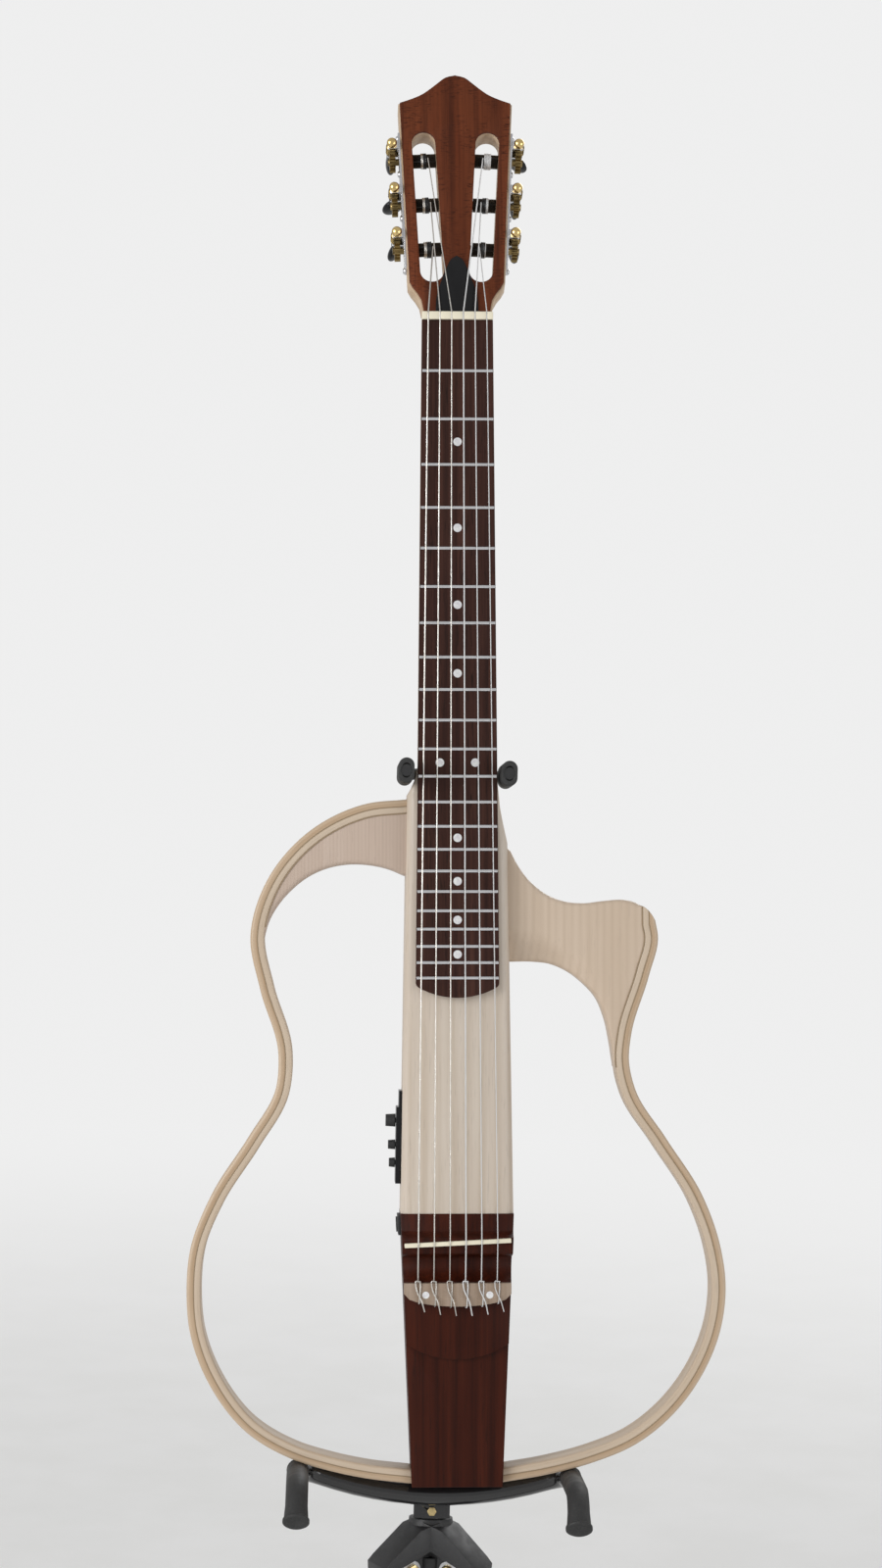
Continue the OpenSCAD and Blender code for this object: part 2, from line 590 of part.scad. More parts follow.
// ---- tail block and bridge ----------------------------------------------------------------
scoop_r = 66;
scoop_s = 736;
module tail_block() {
    th = beam_w / 2;
    color([0.4, 0.16, 0.1]) guitar() difference() {
        intersection() {
            across(-60, 60) polygon([[1, -tail_start], [-0.5, -tail_start], [-1.5, -646],
                [-4, -648], [-9.5, -650], [-10.5, -652], [-10.5, -660], [-9, -661.8],
                [4, -664.4], [5.2, -667], [5, -671.5], [3.4, -675.5], [0, -679],
                [-tie_back, -tie_s + 0.6], [-tie_back, -tail_end + 12], [-tie_back + 1, -tail_end + 3],
                [0.4, -tail_end], [beam_depth, -tail_end], [beam_depth, -tail_start]]);
            slab(-30, 60) polygon([[-th, -tail_start], [th, -tail_start],
                [tail_w / 2, -tail_end], [-tail_w / 2, -tail_end]]);
        }
        // plain lower field, set back behind the scooped step
        difference() {
            translate([-60, -20, -tail_end - 10]) cube([120, 20, tail_end + 10 - 720]);
            translate([0, 0, scoop_r - scoop_s]) along_y(scoop_r, -30, 1, 96);
        }
        saddle_body(-4.6, 0.02);
        for (i = [0 : 5]) translate([saddle_x(i), -6.2, -700])
            cylinder(r = 0.9, h = 20, $fn = low);
        jack_frame() along_x(jack_r + 0.1, -3, jack_len + 1, fine);
    }
}
module saddle_body(back, extra = 0) {
    translate([0, 0, -saddle_s]) rotate([0, -saddle_slope, 0])
        translate([-37.5 - extra, -saddle_front, -1.5 - extra])
            cube([75 + 2 * extra, saddle_front + back, 3 + 2 * extra]);
}
module saddle() {
    color([0.93, 0.9, 0.8]) guitar() saddle_body(-4.6);
}
module tie_block() {
    low_edge = [for (x = [-38 : 4 : 38]) [x * 0.995, -tie_end(x)]];
    color([0.85, 0.72, 0.52]) guitar() difference() {
        slab(-tie_front, -tie_back) polygon(concat([[37.8, -tie_s], [-37.8, -tie_s]], low_edge));
        for (i = [0 : 5]) translate([saddle_x(i), -6.2, -720])
            cylinder(r = 0.9, h = 60, $fn = low);
        for (p = tie_dots) translate([p[0], 0, -p[1]])
            along_y(2.52, -tie_front - 1, -tie_front + 1.5);
    }
}

// ---- preamp and output jack ---------------------------------------------------------------
preamp_s = 583.3;
beam_taper = atan(4.5 / (tail_start - 338));
knob_s = [569.2, 586.4, 599.1];
knob_d = [9.3, 7, 7];
knob_len = [7.3, 5.3, 4.5];
// Frame on the beam's left side, x into the beam
module preamp_frame() {
    translate([-beam_l(preamp_s), beam_depth / 2 - 2, -preamp_s])
        rotate([0, beam_taper, 0]) children();
}
panel_t = 4;
module preamp_panel() {
    color([0.06, 0.06, 0.06]) guitar() preamp_frame() difference() {
        union() {
            translate([-panel_t, -13, -30]) cube([panel_t, 26, 54]);
            translate([-panel_t * 0.55, -13, 24]) cube([panel_t * 0.55, 26, 11.5]);
            along_x(13.9, -0.5, 11.8, fine);
        }
        for (k = [0 : 2]) translate([0, 0, preamp_s - knob_s[k]])
            along_x(1.9 + run, -panel_t - 1, 4);
    }
}
module preamp_knob(k) {
    color([0.05, 0.05, 0.05]) guitar() preamp_frame()
        translate([-panel_t, 0, preamp_s - knob_s[k]]) {
        along_x(1.9, -1, panel_t - 0.3);
        difference() {
            rotate([0, -90, 0]) translate([0, 0, near])
                cylinder(d1 = knob_d[k], d2 = knob_d[k] - 0.8, h = knob_len[k] - near, $fn = fine);
            translate([-knob_len[k] - 0.5, -0.4, knob_d[k] * 0.1])
                cube([1.1, 0.8, knob_d[k]]);
        }
    }
}
jack_s = 643;
jack_r = 7;
jack_len = 24;
jack_bore = 3.25;
module jack_frame() {
    translate([-tail_half(jack_s), beam_depth / 2 + 2, -jack_s])
        rotate([0, -atan((beam_w - tail_w) / 2 / (tail_end - tail_start)), 0]) children();
}
module output_jack() {
    color([0.1, 0.1, 0.1]) guitar() jack_frame() difference() {
        union() {
            along_x(jack_r, 0, jack_len, fine);
            translate([-2, -12, -7]) cube([2, 24, 14]);
            along_x(5.4, -3.2, -1.9, 6);
        }
        along_x(jack_bore, -5, jack_len - 3, fine);
    }
}

// ---- stand: hub and legs ------------------------------------------------------------------
hinge_r = 18;
foot_r = 9.5;
leg_slope = asin((hub_h - foot_r + 0.3) / leg_len);
leg_turn = [-150, -30, 90];
tongue_w = 8;
cheek_t = 2;
bracket_len = 27;
hinge_pin = 2.6;
// Frame on a leg's hinge: x outward along the level, z up
module at_hinge(k) {
    row() translate([0, 0, hub_h]) rotate([0, 0, leg_turn[k]]) translate([hinge_r, 0, 0])
        children();
}
// Frame along a leg: x out along its tube
module along_leg(k) {
    at_hinge(k) rotate([0, leg_slope, 0]) children();
}
mast_low = 16;
collar_high = 34;
roof_gap = 9.6;
roof_rise = tan(leg_slope);
module hub() {
    color([0.07, 0.07, 0.07]) difference() {
        union() {
            row() translate([0, 0, hub_h - 13]) cylinder(r = 9.4, h = 20, $fn = fine);
            for (k = [0 : 2]) at_hinge(k) {
                // tongue that the leg bracket straddles
                difference() {
                    translate([-hinge_r, tongue_w / 2, 0]) rotate([90, 0, 0])
                        linear_extrude(tongue_w) polygon([[0, -12], [14, -11], [22, -8],
                            [25.5, -2], [25.5, 4], [22, roof_gap], [0, 18]]);
                    rotate([90, 0, 0]) cylinder(r = hinge_pin + 0.02, h = 20, center = true,
                        $fn = mid);
                }
                // sloping roof over the bracket
                translate([-hinge_r, 12.5, 0]) rotate([90, 0, 0]) linear_extrude(25)
                    polygon([[0, roof_gap + hinge_r * roof_rise],
                        [44, roof_gap - (44 - hinge_r) * roof_rise],
                        [44.5, roof_gap - (44 - hinge_r) * roof_rise + 6],
                        [40, roof_gap - (40 - hinge_r) * roof_rise + 9],
                        [16, 30], [0, 34]]);
            }
            mast_frame() translate([0, 0, mast_low - 4])
                cylinder(r1 = mast_d / 2 + 6, r2 = mast_d / 2 + 3.4, h = collar_high - mast_low + 4,
                    $fn = fine);
        }
        mast_frame() translate([0, 0, mast_low]) cylinder(r = mast_d / 2, h = 60, $fn = fine);
    }
}
module leg(k) {
    half = tongue_w / 2 + 0.35;
    color([0.12, 0.12, 0.13]) along_leg(k) difference() {
        union() {
            // folded steel bracket: two cheeks joined over the tube end
            for (m = [-1, 1]) translate([0, m * (half + cheek_t / 2), 0]) rotate([90, 0, 0])
                linear_extrude(cheek_t, center = true) {
                    circle(r = 6.6, $fn = fine);
                    polygon([[0, -6.6], [bracket_len, -5.6], [bracket_len, 5.6], [0, 6.6]]);
                }
            translate([14, -half - cheek_t, -5.8]) cube([bracket_len - 14, 2 * half + 2 * cheek_t, 11.6]);
            along_x(leg_d / 2 + 1.4, bracket_len - 0.5, bracket_len + 5, fine);
            along_x(leg_d / 2, bracket_len + 4, leg_len - 4, fine);
        }
        rotate([90, 0, 0]) cylinder(r = hinge_pin + run, h = 30, center = true, $fn = mid);
        along_x(leg_d / 2 - 1.5, bracket_len + 12, leg_len - 8, mid);
    }
}
module foot(k) {
    color([0.03, 0.03, 0.03]) difference() {
        along_leg(k) difference() {
            translate([leg_len, 0, 0]) rotate([0, 90, 0]) rotate_extrude($fn = fine)
                polygon(concat([[0, -34], [leg_d / 2 + 1.6, -34], [leg_d / 2 + 2.2, -32],
                    [foot_r, -12]], [for (a = [0 : 9 : 90]) [foot_r * cos(a), foot_r * sin(a)]]));
            along_x(leg_d / 2, leg_len - 60, leg_len - 4, fine);
        }
        row() translate([-600, -600, -20]) cube([1200, 1200, 20]);
    }
}

// ---- stand: mast, neck post and neck rest -------------------------------------------------
mast_high = 430;
// Height of the cradle arms: their sleeves clear the rim by a hair on the higher side
function on_mast(p) = [rest_x + p[0] * cos(roll) + p[1] * sin(roll),
    nut_z + p[0] * sin(roll) - p[1] * cos(roll)];
function arm_height(x) = let (reach = arm_d / 2 + near) min([for (c = [left_line, right_line])
    for (i = [len(c) - 17 : len(c) - 2]) for (t = [0 : 0.125 : 1])
    let (p = on_mast(c[i] * (1 - t) + c[i + 1] * t), d = abs(p[0] - x))
    d < reach ? p[1] - sqrt(reach * reach - d * d) : 1000]);
arm_z = min(arm_height(-arm_span / 2), arm_height(arm_span / 2));
cross_y = -(mast_d / 2 + cross_d / 2);
elbow_r = 20;
arm_tube = arm_d / 2 - 1.6;
sag_a = 17;
cross_half = arm_span / 2 - elbow_r * cos(sag_a);
sag_r = cross_half / sin(sag_a);
cross_z = arm_z - sag_r * (1 - cos(sag_a)) - elbow_r * sin(sag_a);
arm_start_y = cross_y - elbow_r;
arm_bend_y = -(mast_gap - rim_front + 45);
arm_bend_r = 30;
arm_bend_a = 50;
arm_tip = 12;
post_low = 235;
rest_z = nut_z - rest_s * cos(roll) + 3.2;
post_high = rest_z + 18;
collar_z = mast_high - 22;
module mast_tube() {
    color([0.1, 0.1, 0.11]) mast_frame() difference() {
        translate([0, 0, mast_low]) cylinder(r = mast_d / 2, h = mast_high - mast_low, $fn = fine);
        translate([0, 0, mast_low + 8]) cylinder(r = post_d / 2 + slide, h = 600, $fn = fine);
        translate([0, 0, collar_z + 8]) along_y(3.2, 5, 20);
        translate([0, 0, cross_z]) for (z = [-13, 13])
            translate([0, 0, z]) along_y(2.05, -20, -8);
    }
}
module neck_post() {
    color([0.16, 0.16, 0.17]) mast_frame() difference() {
        translate([0, 0, post_low]) cylinder(r = post_d / 2, h = post_high - post_low, $fn = fine);
        translate([0, 0, post_low - 1]) cylinder(r = post_d / 2 - 1.6, h = post_high - post_low - 40,
            $fn = fine);
        translate([0, 0, rest_z]) along_y(yoke_r, -20, -2);
    }
}
yoke_r = 4.2;
prong_x = [-36.8, 35.6];
yoke_back = -27;
yoke_tip = -66;
module neck_rest_yoke() {
    bend = 9;
    color([0.09, 0.09, 0.1]) mast_frame() translate([0, 0, rest_z]) {
        along_y(yoke_r, yoke_back, -2);
        translate([0, yoke_back, 0]) {
            along_x(yoke_r, prong_x[0] + bend, prong_x[1] - bend);
            for (m = [0, 1]) translate([prong_x[m], 0, 0]) mirror([m, 0, 0])
                translate([bend, -bend, 0]) rotate([0, 0, 90]) rotate_extrude(angle = 90, $fn = fine)
                translate([bend, 0]) circle(r = yoke_r, $fn = mid);
            for (x = prong_x) translate([x, 0, 0]) along_y(yoke_r, yoke_tip, -bend);
        }
    }
}
sleeve_w = 11.2;
sleeve_h = 17.8;
module neck_rest_sleeves() {
    color([0.04, 0.04, 0.04]) mast_frame() translate([0, 0, rest_z])
        for (x = prong_x) translate([x, 0, 0]) difference() {
            slab(yoke_back + yoke_tip - 1, yoke_back - 9.5) hull() for (z = [-1, 1])
                translate([0, z * (sleeve_h - sleeve_w) / 2]) circle(d = sleeve_w, $fn = mid);
            along_y(yoke_r, yoke_back + yoke_tip - 5, 0);
            slab(yoke_back + yoke_tip - 3, yoke_back + yoke_tip + 1.5) scale([0.55, 0.6]) hull()
                for (z = [-1, 1]) translate([0, z * (sleeve_h - sleeve_w) / 2])
                    circle(d = sleeve_w, $fn = mid);
        }
}
module clamp_collar() {
    color([0.08, 0.08, 0.08]) mast_frame() translate([0, 0, collar_z]) difference() {
        union() {
            cylinder(r = mast_d / 2 + 5.5, h = 27, $fn = fine);
            translate([0, 0, 27]) cylinder(r1 = mast_d / 2 + 5.5, r2 = post_d / 2 + 3, h = 4, $fn = fine);
            translate([0, 0, 8]) along_y(8, 8, mast_d / 2 + 14);
        }
        translate([0, 0, -1]) cylinder(r = mast_d / 2, h = 23, $fn = fine);
        translate([0, 0, 10]) cylinder(r = post_d / 2 + slide, h = 40, $fn = fine);
        translate([0, 0, 8]) along_y(3 + run, 5, 60);
    }
}
module clamp_knob() {
    face = mast_d / 2 + 14 + near;
    color([0.05, 0.05, 0.05]) mast_frame() translate([0, 0, collar_z + 8]) {
        along_y(3, post_d / 2 + near, face + 2);
        translate([0, face + 14, 0]) rotate([90, 0, 0]) linear_extrude(14)
            polygon([for (a = [0 : 6 : 354]) (14.5 + 1.6 * cos(8 * a)) * [cos(a), sin(a)]]);
        along_y(9, face + 14, face + 17);
    }
}

// ---- stand: cradle ------------------------------------------------------------------------
// Round bar swept along points; r is one radius or one for each point, u0 a first side vector
module bar(p, r, facets, u0) {
    n = len(p) - 1;
    dirs = [for (i = [0 : n]) let (d = p[min(i + 1, n)] - p[max(i - 1, 0)]) d / norm(d)];
    sides = carried(dirs, n, u0);
    loft([for (i = [0 : n]) let (u = sides[i], v = cross(dirs[i], u), q = is_list(r) ? r[i] : r)
        [for (k = [0 : facets - 1]) let (a = 360 * k / facets) p[i] + q * (u * cos(a) + v * sin(a))]]);
}
function square_to(u, d) = let (w = u - d * (u * d)) w / norm(w);
// Side vectors carried along a row of directions without twist
function carried(dirs, i, u0) = i == 0 ? [square_to(u0, dirs[0])] :
    let (past = carried(dirs, i - 1, u0)) concat(past, [square_to(past[i - 1], dirs[i])]);
// Points of one arm in the plane of its frame, from y_start forward to the drooping tip
function arm_points(y_start, tip) = concat([[0, y_start, 0]],
    [for (a = [0 : 10 : arm_bend_a])
        [0, arm_bend_y - arm_bend_r * sin(a), arm_bend_r * (cos(a) - 1)]],
    [arm_end(tip)]);
function arm_end(tip) = [0, arm_bend_y - arm_bend_r * sin(arm_bend_a) - tip * cos(arm_bend_a),
    arm_bend_r * (cos(arm_bend_a) - 1) - tip * sin(arm_bend_a)];
// Frame of an arm, on its axis level with the mast
module at_arm(m) {
    mast_frame() mirror([m, 0, 0]) translate([arm_span / 2, 0, arm_z]) children();
}
// Points of the sagging cross member with its two forward elbows
half_cross = concat([for (a = [0 : 3 : sag_a - 1])
        [sag_r * sin(a), cross_y, cross_z + sag_r * (1 - cos(a))]],
    [for (t = [0 : 15 : 90]) let (out = [cos(sag_a), 0, sin(sag_a)], fwd = [0, -1, 0],
        c = [cross_half, cross_y, cross_z + sag_r * (1 - cos(sag_a))] + elbow_r * fwd)
        c - elbow_r * fwd * cos(t) + elbow_r * out * sin(t)]);
cross_points = concat(reversed([for (i = [1 : len(half_cross) - 1])
    [-half_cross[i][0], half_cross[i][1], half_cross[i][2]]]), half_cross);
module cradle_yoke() {
    color([0.08, 0.08, 0.09]) {
        mast_frame() bar(cross_points, cross_d / 2, 20, [0, 0, 1]);
        for (m = [0, 1]) at_arm(m) bar(arm_points(arm_start_y + 4, arm_tip), arm_tube, 20, [0, 0, 1]);
        // mounting plate on the mast
        mast_frame() translate([0, 0, cross_z]) difference() {
            translate([-13, -mast_d / 2 - 3, -18]) cube([26, 6, 36]);
            cylinder(r = mast_d / 2 + 0.01, h = 80, center = true, $fn = fine);
            for (z = [-13, 13]) translate([0, 0, z]) along_y(2.1, -40, 0);
        }
    }
}
sleeve_start = arm_start_y - 4;
module cradle_sleeves() {
    r = arm_d / 2;
    points = arm_points(sleeve_start, arm_tip - 1);
    last = len(points) - 1;
    color([0.05, 0.05, 0.05]) for (m = [0, 1]) at_arm(m) difference() {
        bar(points, [for (i = [0 : last]) i == last ? r + 0.75 : r], 20, [0, 0, 1]);
        bar(arm_points(arm_start_y + 4, arm_tip), arm_tube, 20, [0, 0, 1]);
    }
}
module cradle_caps() {
    color([0.02, 0.02, 0.02]) for (m = [0, 1]) at_arm(m) translate(arm_end(arm_tip))
        rotate([90 + arm_bend_a, 0, 0]) rotate_extrude($fn = fine)
            polygon([[0, 0], [arm_tube + 0.05, 0], [arm_tube + 0.05, -0.9], [arm_d / 2 + 0.75, -0.9],
                [arm_d / 2 + 1.55, -0.4], [arm_d / 2 + 1.55, 1.4], [arm_d / 2, 2.4], [0, 2.9]]);
}
module stand_bolts() {
    color([0.8, 0.7, 0.45]) {
        for (k = [0 : 2]) along_leg(k) {
            half = tongue_w / 2 + 0.35 + cheek_t;
            along_y(hinge_pin, -half - 1, half + 1);
            along_y(4.6, half + 0.3, half + 2.6, 6);
            translate([0, -half - 0.3, 0]) rotate([90, 0, 0]) rotate_extrude($fn = mid)
                polygon([[0, 0], [4.4, 0], [4.2, 1.2], [3, 2.4], [0, 2.9]]);
        }
        mast_frame() translate([0, 0, cross_z]) for (z = [-13, 13])
            translate([0, -mast_d / 2 - 3, z]) {
                along_y(2, 0, 6);
                along_y(3.4, -2.4, 0, 6);
            }
    }
}

neck();
headstock();
headstock_veneer();
fretboard();
frets();
inlay_dots();
nut();
truss_rod_cover();
tuner_plates();
tuner_screws();
centre_beam();
left_wing();
right_wing();
rim_outer_ply();
rim_inner_ply();
tail_block();
saddle();
tie_block();
bass_strings();
treble_strings();
preamp_panel();
output_jack();
worm(0);  // worm_1
worm(1);  // worm_2
worm(2);  // worm_3
worm(3);  // worm_4
worm(4);  // worm_5
worm(5);  // worm_6
button(0);  // button_1
button(1);  // button_2
button(2);  // button_3
button(3);  // button_4
button(4);  // button_5
button(5);  // button_6
roller(0);  // roller_1
roller(1);  // roller_2
roller(2);  // roller_3
roller(3);  // roller_4
roller(4);  // roller_5
roller(5);  // roller_6
preamp_knob(0);  // volume_knob
preamp_knob(1);  // bass_knob
preamp_knob(2);  // treble_knob
hub();
mast_tube();
neck_post();
neck_rest_yoke();
neck_rest_sleeves();
cradle_yoke();
cradle_sleeves();
cradle_caps();
stand_bolts();
clamp_collar();
clamp_knob();
leg(0);  // leg_left
leg(1);  // leg_right
leg(2);  // leg_rear
foot(0);  // foot_left
foot(1);  // foot_right
foot(2);  // foot_rear
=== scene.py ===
"""Looks of the skeleton-body guitar on its folding stand.

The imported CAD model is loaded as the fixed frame. Each sub-assembly is a class that builds its
own pieces in the same frame, dresses the CAD nodes that stay, and rides on the right bodies.
Lengths inside the classes are millimetres; the row frame is metres.
"""

from __future__ import annotations

import json
import logging
import math
from dataclasses import dataclass, field
from enum import Enum
from functools import cache
from typing import Callable, Sequence

import bmesh
import bpy
from mathutils import Matrix, Vector

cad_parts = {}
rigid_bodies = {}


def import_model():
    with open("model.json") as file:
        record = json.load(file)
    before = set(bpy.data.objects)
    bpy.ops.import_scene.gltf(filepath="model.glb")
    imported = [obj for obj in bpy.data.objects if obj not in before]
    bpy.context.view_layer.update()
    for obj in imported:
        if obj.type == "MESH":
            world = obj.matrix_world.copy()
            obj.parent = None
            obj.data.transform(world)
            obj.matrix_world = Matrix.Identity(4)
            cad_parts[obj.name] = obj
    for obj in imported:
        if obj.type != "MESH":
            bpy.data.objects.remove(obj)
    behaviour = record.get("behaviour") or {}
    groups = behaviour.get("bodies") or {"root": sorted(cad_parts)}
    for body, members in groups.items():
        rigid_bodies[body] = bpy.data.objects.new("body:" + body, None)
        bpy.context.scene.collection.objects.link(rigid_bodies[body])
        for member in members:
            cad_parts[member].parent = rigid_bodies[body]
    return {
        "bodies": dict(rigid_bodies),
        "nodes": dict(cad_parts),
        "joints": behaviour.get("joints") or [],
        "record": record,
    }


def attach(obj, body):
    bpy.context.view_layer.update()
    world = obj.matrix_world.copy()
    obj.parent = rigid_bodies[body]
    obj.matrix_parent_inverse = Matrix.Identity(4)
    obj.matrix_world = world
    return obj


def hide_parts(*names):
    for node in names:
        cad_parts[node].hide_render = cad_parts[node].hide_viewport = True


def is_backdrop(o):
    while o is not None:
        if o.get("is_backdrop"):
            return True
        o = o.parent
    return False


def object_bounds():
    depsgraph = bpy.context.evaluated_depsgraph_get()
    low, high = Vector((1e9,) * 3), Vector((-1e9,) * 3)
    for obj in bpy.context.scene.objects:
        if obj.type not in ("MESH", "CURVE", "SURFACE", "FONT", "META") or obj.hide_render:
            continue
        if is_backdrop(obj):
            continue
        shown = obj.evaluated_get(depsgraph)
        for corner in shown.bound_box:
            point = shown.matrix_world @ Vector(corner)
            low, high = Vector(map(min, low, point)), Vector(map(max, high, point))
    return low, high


logging.basicConfig(level=logging.INFO, format="%(name)s: %(message)s")
LOG = logging.getLogger("scene")

MM = 0.001
Point = tuple[float, float, float]
Flat = tuple[float, float]
Colour = tuple[float, float, float]
Labels = Sequence[tuple[str, str]]
Sockets = bpy.types.bpy_prop_collection


# ---- design sizes shared with the CAD source ----
@dataclass(frozen=True)
class Design:
    """Sizes and angles that place the guitar on its stand, as in the CAD source."""

    lean: float = 8.0
    roll: float = 1.8
    head_tilt: float = 12.0
    hub_h: float = 150.0
    shift_y: float = -96.0
    mast_gap: float = 63.5
    rest_s: float = 326.0
    nut_z: float = 891.0
    rim_front: float = 6.0
    rim_rear: float = 36.0
    outer_ply: float = 5.2
    inner_ply: float = 4.8
    left_start: float = 338.0
    left_half: float = 35.5
    left_gain: float = 4.5
    right_start: float = 372.0
    right_half: float = 35.9
    right_gain: float = 4.1
    tail_start: float = 634.0
    tail_end: float = 826.0
    tail_top: float = 40.0
    tail_taper: float = 8.0
    tuner_first: float = 57.8
    tuner_pitch: float = 34.4
    roller_depth: float = 10.0
    head_low: float = 30.4
    head_rise: float = 138.4
    head_narrow: float = 34.8
    head_gain: float = 6.5
    hinge_x: float = 18.0
    leg_len: float = 392.0
    foot_h: float = 9.5
    foot_sink: float = 0.3

    def hub(self) -> Matrix:
        """Upright frame at the hub, in millimetres, mapped to metres in the row."""
        return Matrix.Diagonal((MM, MM, MM, 1.0)) @ Matrix.Translation(
            (0.0, self.shift_y, self.hub_h))

    def guitar(self) -> Matrix:
        """Frame of the guitar, origin at the nut on the neck plane.

        Returns:
            Guitar millimetres to the row.
        """
        roll = math.radians(self.roll)
        return (self.hub() @ Matrix.Rotation(math.radians(-self.lean), 4, "X")
                @ Matrix.Translation((-self.rest_s * math.sin(roll), -self.mast_gap, self.nut_z))
                @ Matrix.Rotation(-roll, 4, "Y"))

    def head(self) -> Matrix:
        """Frame of the headstock face."""
        return self.guitar() @ Matrix.Rotation(math.radians(-self.head_tilt), 4, "X")

    def tuner_z(self, index: int) -> float:
        """Height of a tuner's roller above the nut along the headstock."""
        return self.tuner_first + self.tuner_pitch * (index % 3)

    def head_half(self, z: float) -> float:
        """Half width of the headstock at height z."""
        return self.head_narrow + self.head_gain * (z - self.head_low) / self.head_rise

    def tuner(self, index: int) -> Matrix:
        """Frame of one tuner: origin on the roller axis at the headstock's side.

        Args:
            index: Tuner number, 0 to 2 on the left and 3 to 5 on the right.

        Returns:
            Tuner millimetres to the row.
        """
        z = self.tuner_z(index)
        mirror = Matrix.Diagonal((-1.0 if index < 3 else 1.0, 1.0, 1.0, 1.0))
        return (self.head() @ mirror
                @ Matrix.Translation((self.head_half(z), self.roller_depth, z))
                @ Matrix.Rotation(math.atan(self.head_gain / self.head_rise), 4, "Y"))

    def leg(self, turn: float) -> Matrix:
        """Frame along one leg, x outward from its hinge.

        Args:
            turn: Direction of the leg about the upright axis, degrees.

        Returns:
            Leg millimetres to the row.
        """
        slope = math.asin((self.hub_h - self.foot_h + self.foot_sink) / self.leg_len)
        return (self.hub() @ Matrix.Rotation(math.radians(turn), 4, "Z")
                @ Matrix.Translation((self.hinge_x, 0.0, 0.0)) @ Matrix.Rotation(slope, 4, "Y"))

    def beam_left(self, s: float) -> float:
        """Half width of the beam on its left side at station s."""
        return self.left_half + self.left_gain * (s - self.left_start) / (
            self.tail_start - self.left_start)

    def beam_right(self, s: float) -> float:
        """Half width of the beam on its right side at station s."""
        return self.right_half + self.right_gain * (s - self.right_start) / (
            self.tail_start - self.right_start)

    def tail_half(self, s: float) -> float:
        """Half width of the tail block at station s."""
        return self.tail_top - self.tail_taper * (s - self.tail_start) / (
            self.tail_end - self.tail_start)


DESIGN = Design()

LEFT_LINE: tuple[Flat, ...] = (
    (-36, 341), (-64, 344), (-104, 363), (-135, 399), (-146.5, 438), (-139.5, 476),
    (-126.5, 522), (-128.5, 547), (-148, 581.5), (-174, 622), (-188, 657), (-191, 690),
    (-188.5, 718), (-175, 754), (-148.5, 788), (-117, 806.6), (-92, 814.6), (-64, 820.6),
    (-32, 824.4))
RIGHT_LINE: tuple[Flat, ...] = (
    (141.6, 427.5), (143.4, 438), (137, 466), (124, 509), (122.5, 526), (127, 547),
    (148.4, 581), (174.5, 622), (187, 657), (191, 686), (187, 718), (172, 752.5),
    (153.5, 776.5), (127, 797.5), (96, 810.4), (64, 818.6), (32, 823.8))
CUTAWAY: tuple[Flat, ...] = (
    (38, 377), (42.5, 386), (53, 400), (65, 409), (77, 413.5), (90.7, 414.7), (106, 413),
    (118, 412.2), (126, 413.5))
LEFT_HOLLOW: tuple[Flat, ...] = (
    (-36.4, 395.6), (-47, 391), (-62, 387.6), (-75, 387), (-91, 389.6), (-105.5, 396),
    (-117.5, 405.5), (-127, 416.5), (-133.4, 428), (-136.4, 438.5), (-138.6, 450))
RIGHT_HOLLOW: tuple[Flat, ...] = (
    (37.2, 456.5), (54.5, 456.5), (66.6, 458), (78.6, 463), (90.6, 472), (99.6, 482),
    (105.6, 496), (109.6, 514), (112.2, 530), (115.9, 541.5), (121.5, 553))
HORN: tuple[Flat, ...] = ((131.9, 416.7), (134.8, 418.2))
QUARTER = [math.pi / 2 * k / 4 for k in range(5)]


# ---- curve helpers ----
def smooth_curve(points: Sequence[Sequence[float]], steps: int) -> list[Vector]:
    """Smooth curve through all points.

    Args:
        points: Control points in two or three dimensions.
        steps: Number of samples for each span.

    Returns:
        Samples along the curve, ends included.
    """
    rows = [Vector(p) for p in points]
    last = len(rows) - 1

    def tangent(i: int) -> Vector:
        """Direction at point i.

        Args:
            i: Number of the point.

        Returns:
            Direction of length near 1.
        """
        if i == 0:
            return (rows[1] - rows[0]).normalized()
        if i == last:
            return (rows[last] - rows[last - 1]).normalized()
        before, after = rows[i] - rows[i - 1], rows[i + 1] - rows[i]
        a, b = before.length, after.length
        return (before / a * b + after / b * a) / (a + b)

    out: list[Vector] = []
    for i in range(last):
        chord = (rows[i + 1] - rows[i]).length
        m0, m1 = tangent(i) * chord, tangent(i + 1) * chord
        for k in range(steps):
            t = k / steps
            out.append((2 * t**3 - 3 * t**2 + 1) * rows[i] + (t**3 - 2 * t**2 + t) * m0
                       + (3 * t**2 - 2 * t**3) * rows[i + 1] + (t**3 - t**2) * m1)
    out.append(rows[last])
    return out


def side_normal(line: Sequence[Vector], i: int) -> Vector:
    """Left-hand normal of a flat polyline at point i."""
    d = (line[min(i + 1, len(line) - 1)] - line[max(i - 1, 0)]).normalized()
    return Vector((-d.y, d.x))


def shifted(line: Sequence[Vector], distance: float) -> list[Vector]:
    """Flat polyline moved sideways by a distance."""
    return [p + side_normal(line, i) * distance for i, p in enumerate(line)]


